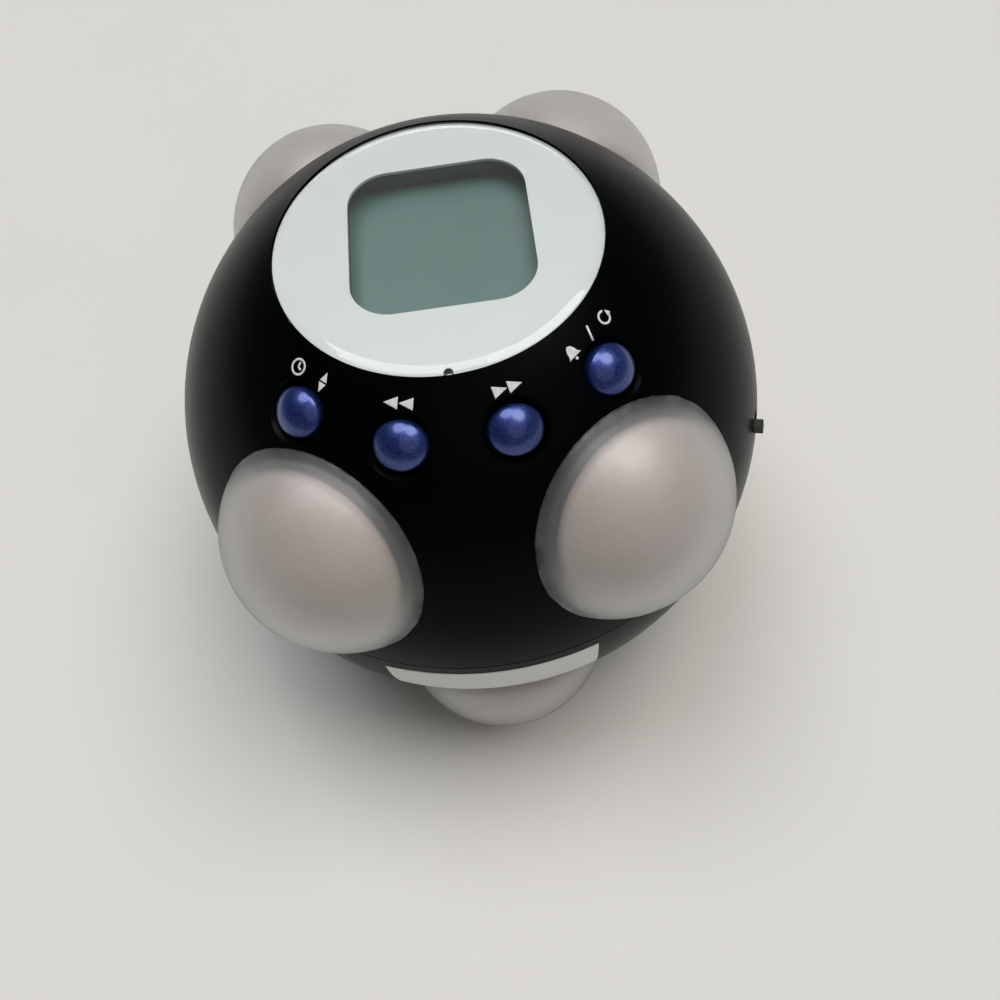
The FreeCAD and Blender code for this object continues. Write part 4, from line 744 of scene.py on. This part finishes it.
class CLOCK_OT_stage(ClockOperator, bpy.types.Operator):
    """Set up the pale table, the soft light and the camera"""
    bl_idname = "clock.stage"
    bl_label = "Stage"

    # The camera stands at this place, in millimetres from the middle of the ball, with these directions.
    CAMERA_AT = (9.52, -103.39, 153.28)
    CAMERA_RIGHT, CAMERA_BACK = (0.9906, -0.0997, -0.0940), (0.0361, -0.4722, 0.8807)
    FOCAL_SHARE = 0.915  # focal length as a share of the sensor's width
    LAMPS_AWAY = 1000.0

    def execute(self, context):
        self.table(self.colours(context).floor)
        self.world(context.scene)
        self.lamp("right_window", (0.38, 0.12, 0.92), strength=1.52, spread=36, code="#fffdf8")
        self.lamp("left_window", (-0.18, 0.28, 0.94), strength=1.15, spread=34, code="#fbfcff")
        self.lamp("front_wall", (0.25, -0.55, 0.8), strength=0.3, spread=60, code="#fffdf8")
        self.camera(context.scene)
        context.scene.view_settings.view_transform = "Standard"
        return {"FINISHED"}

    @staticmethod
    def table(colour):
        """A wide flat sheet of matt paper under the clock."""
        half, lines = 8000.0, 5
        side = np.linspace(-half, half, lines)
        x, y = np.meshgrid(side, side, indexing="ij")
        points = np.stack((x, y, np.zeros_like(x)), axis=-1) * MM
        material, tree, output, place = new_material("matt_table_paper")
        tone = ranged(tree, grain(tree, place, 60), 0.0, 0.12)
        tint = mixed(tree, tone, opaque(colour), opaque(srgb("#dcdad5")))
        shader = add_node(tree, "ShaderNodeBsdfPrincipled", Base_Color=tint, Roughness=0.75,
                          Specular_IOR_Level=0.25)
        finish_with(tree, output, shader)
        mesh = bpy.data.meshes.new("table_sheet")
        faces = grid_faces(lines, lines, around=False)
        mesh.from_pydata(points.reshape(-1, 3).tolist(), [], faces.tolist())
        mesh.materials.append(material)
        sheet = bpy.data.objects.new("table_sheet", mesh)
        bpy.context.scene.collection.objects.link(sheet)

    @staticmethod
    def world(scene):
        """The room: to the eye as pale as the table, but the light that it gives is weak, and weaker
        overhead than near the horizon. The world's Generated coordinate is the direction of the ray."""
        scene.world = bpy.data.worlds.new("room")
        scene.world.use_nodes = True
        tree = scene.world.node_tree
        tree.nodes.clear()
        way = add_node(tree, "ShaderNodeTexCoord").outputs["Generated"]
        rise = add_node(tree, "ShaderNodeSeparateXYZ", Vector=way).outputs["Z"]
        overhead = ranged(tree, rise, 0.0, 1.0, source_low=0.0, source_high=0.5)
        room = mixed(tree, overhead, opaque(srgb("#6d7072")), opaque(srgb("#202224")))
        ray = add_node(tree, "ShaderNodeLightPath").outputs
        seen = add_node(tree, "ShaderNodeMath", {"operation": "MAXIMUM"}, Value=ray["Is Camera Ray"],
                        Value_001=ray["Is Transmission Ray"]).outputs[0]
        backdrop = mixed(tree, seen, room, opaque(srgb("#d9d7d3")))
        background = add_node(tree, "ShaderNodeBackground", Color=backdrop, Strength=1.0)
        finish_with(tree, add_node(tree, "ShaderNodeOutputWorld"), background)

    @staticmethod
    def lamp(name, towards, strength, spread, code):
        """Light from a far softbox in one direction, as wide as that many degrees."""
        light = bpy.data.lights.new(name, "SUN")
        light.energy, light.angle, light.color = strength, math.radians(spread), srgb(code)
        lamp = bpy.data.objects.new(name, light)
        back = np.array(towards, float) / np.linalg.norm(towards)
        right = np.cross((0, 1, 0), back)
        right /= np.linalg.norm(right)
        lamp.matrix_world = CLOCK_OT_stage.pose(right, back, CLOCK_OT_stage.LAMPS_AWAY * back)
        bpy.context.scene.collection.objects.link(lamp)

    @staticmethod
    def pose(right, back, place):
        """A camera's or lamp's matrix from its right and back directions and its place, in millimetres from
        the middle of the ball."""
        up = np.cross(back, right)
        where = (np.array(place, float) + (0, 0, BALL_HEIGHT)) * MM
        matrix = np.eye(4)
        matrix[:3] = np.column_stack((right, up / np.linalg.norm(up), back, where))
        return Matrix(matrix.tolist())

    def camera(self, scene):
        """The scene's camera."""
        data = bpy.data.cameras.new("clock_camera")
        data.sensor_width, data.clip_start = 36.0, 0.01
        data.lens = data.sensor_width * self.FOCAL_SHARE
        camera = bpy.data.objects.new("clock_camera", data)
        camera.matrix_world = self.pose(self.CAMERA_RIGHT, self.CAMERA_BACK, self.CAMERA_AT)
        scene.collection.objects.link(camera)
        scene.camera = camera


OPERATORS = (CLOCK_OT_shells, CLOCK_OT_domes, CLOCK_OT_display, CLOCK_OT_buttons, CLOCK_OT_signs,
             CLOCK_OT_works, CLOCK_OT_stage)


class CLOCK_PT_panel(bpy.types.Panel):
    bl_idname = "CLOCK_PT_panel"
    bl_label = "Ball Alarm Clock"
    bl_space_type = "VIEW_3D"
    bl_region_type = "UI"
    bl_category = "Clock"

    def draw(self, context):
        for group in (context.scene.clock_sizes, context.scene.clock_colours):
            box = self.layout.box()
            for key in setting_names(group):
                box.prop(group, key)
        for operator in OPERATORS:
            self.layout.operator(operator.bl_idname)


CLASSES = (ClockSizes, ClockColours, *OPERATORS, CLOCK_PT_panel)


def register():
    for item in CLASSES:
        bpy.utils.register_class(item)
    bpy.types.Scene.clock_sizes = PointerProperty(type=ClockSizes)
    bpy.types.Scene.clock_colours = PointerProperty(type=ClockColours)


def unregister():
    del bpy.types.Scene.clock_sizes, bpy.types.Scene.clock_colours
    for item in reversed(CLASSES):
        bpy.utils.unregister_class(item)


def main():
    """Make every piece."""
    register()
    for operator in OPERATORS:
        getattr(bpy.ops.clock, operator.bl_idname.split(".")[1])()


if __name__ == "__main__":
    main()
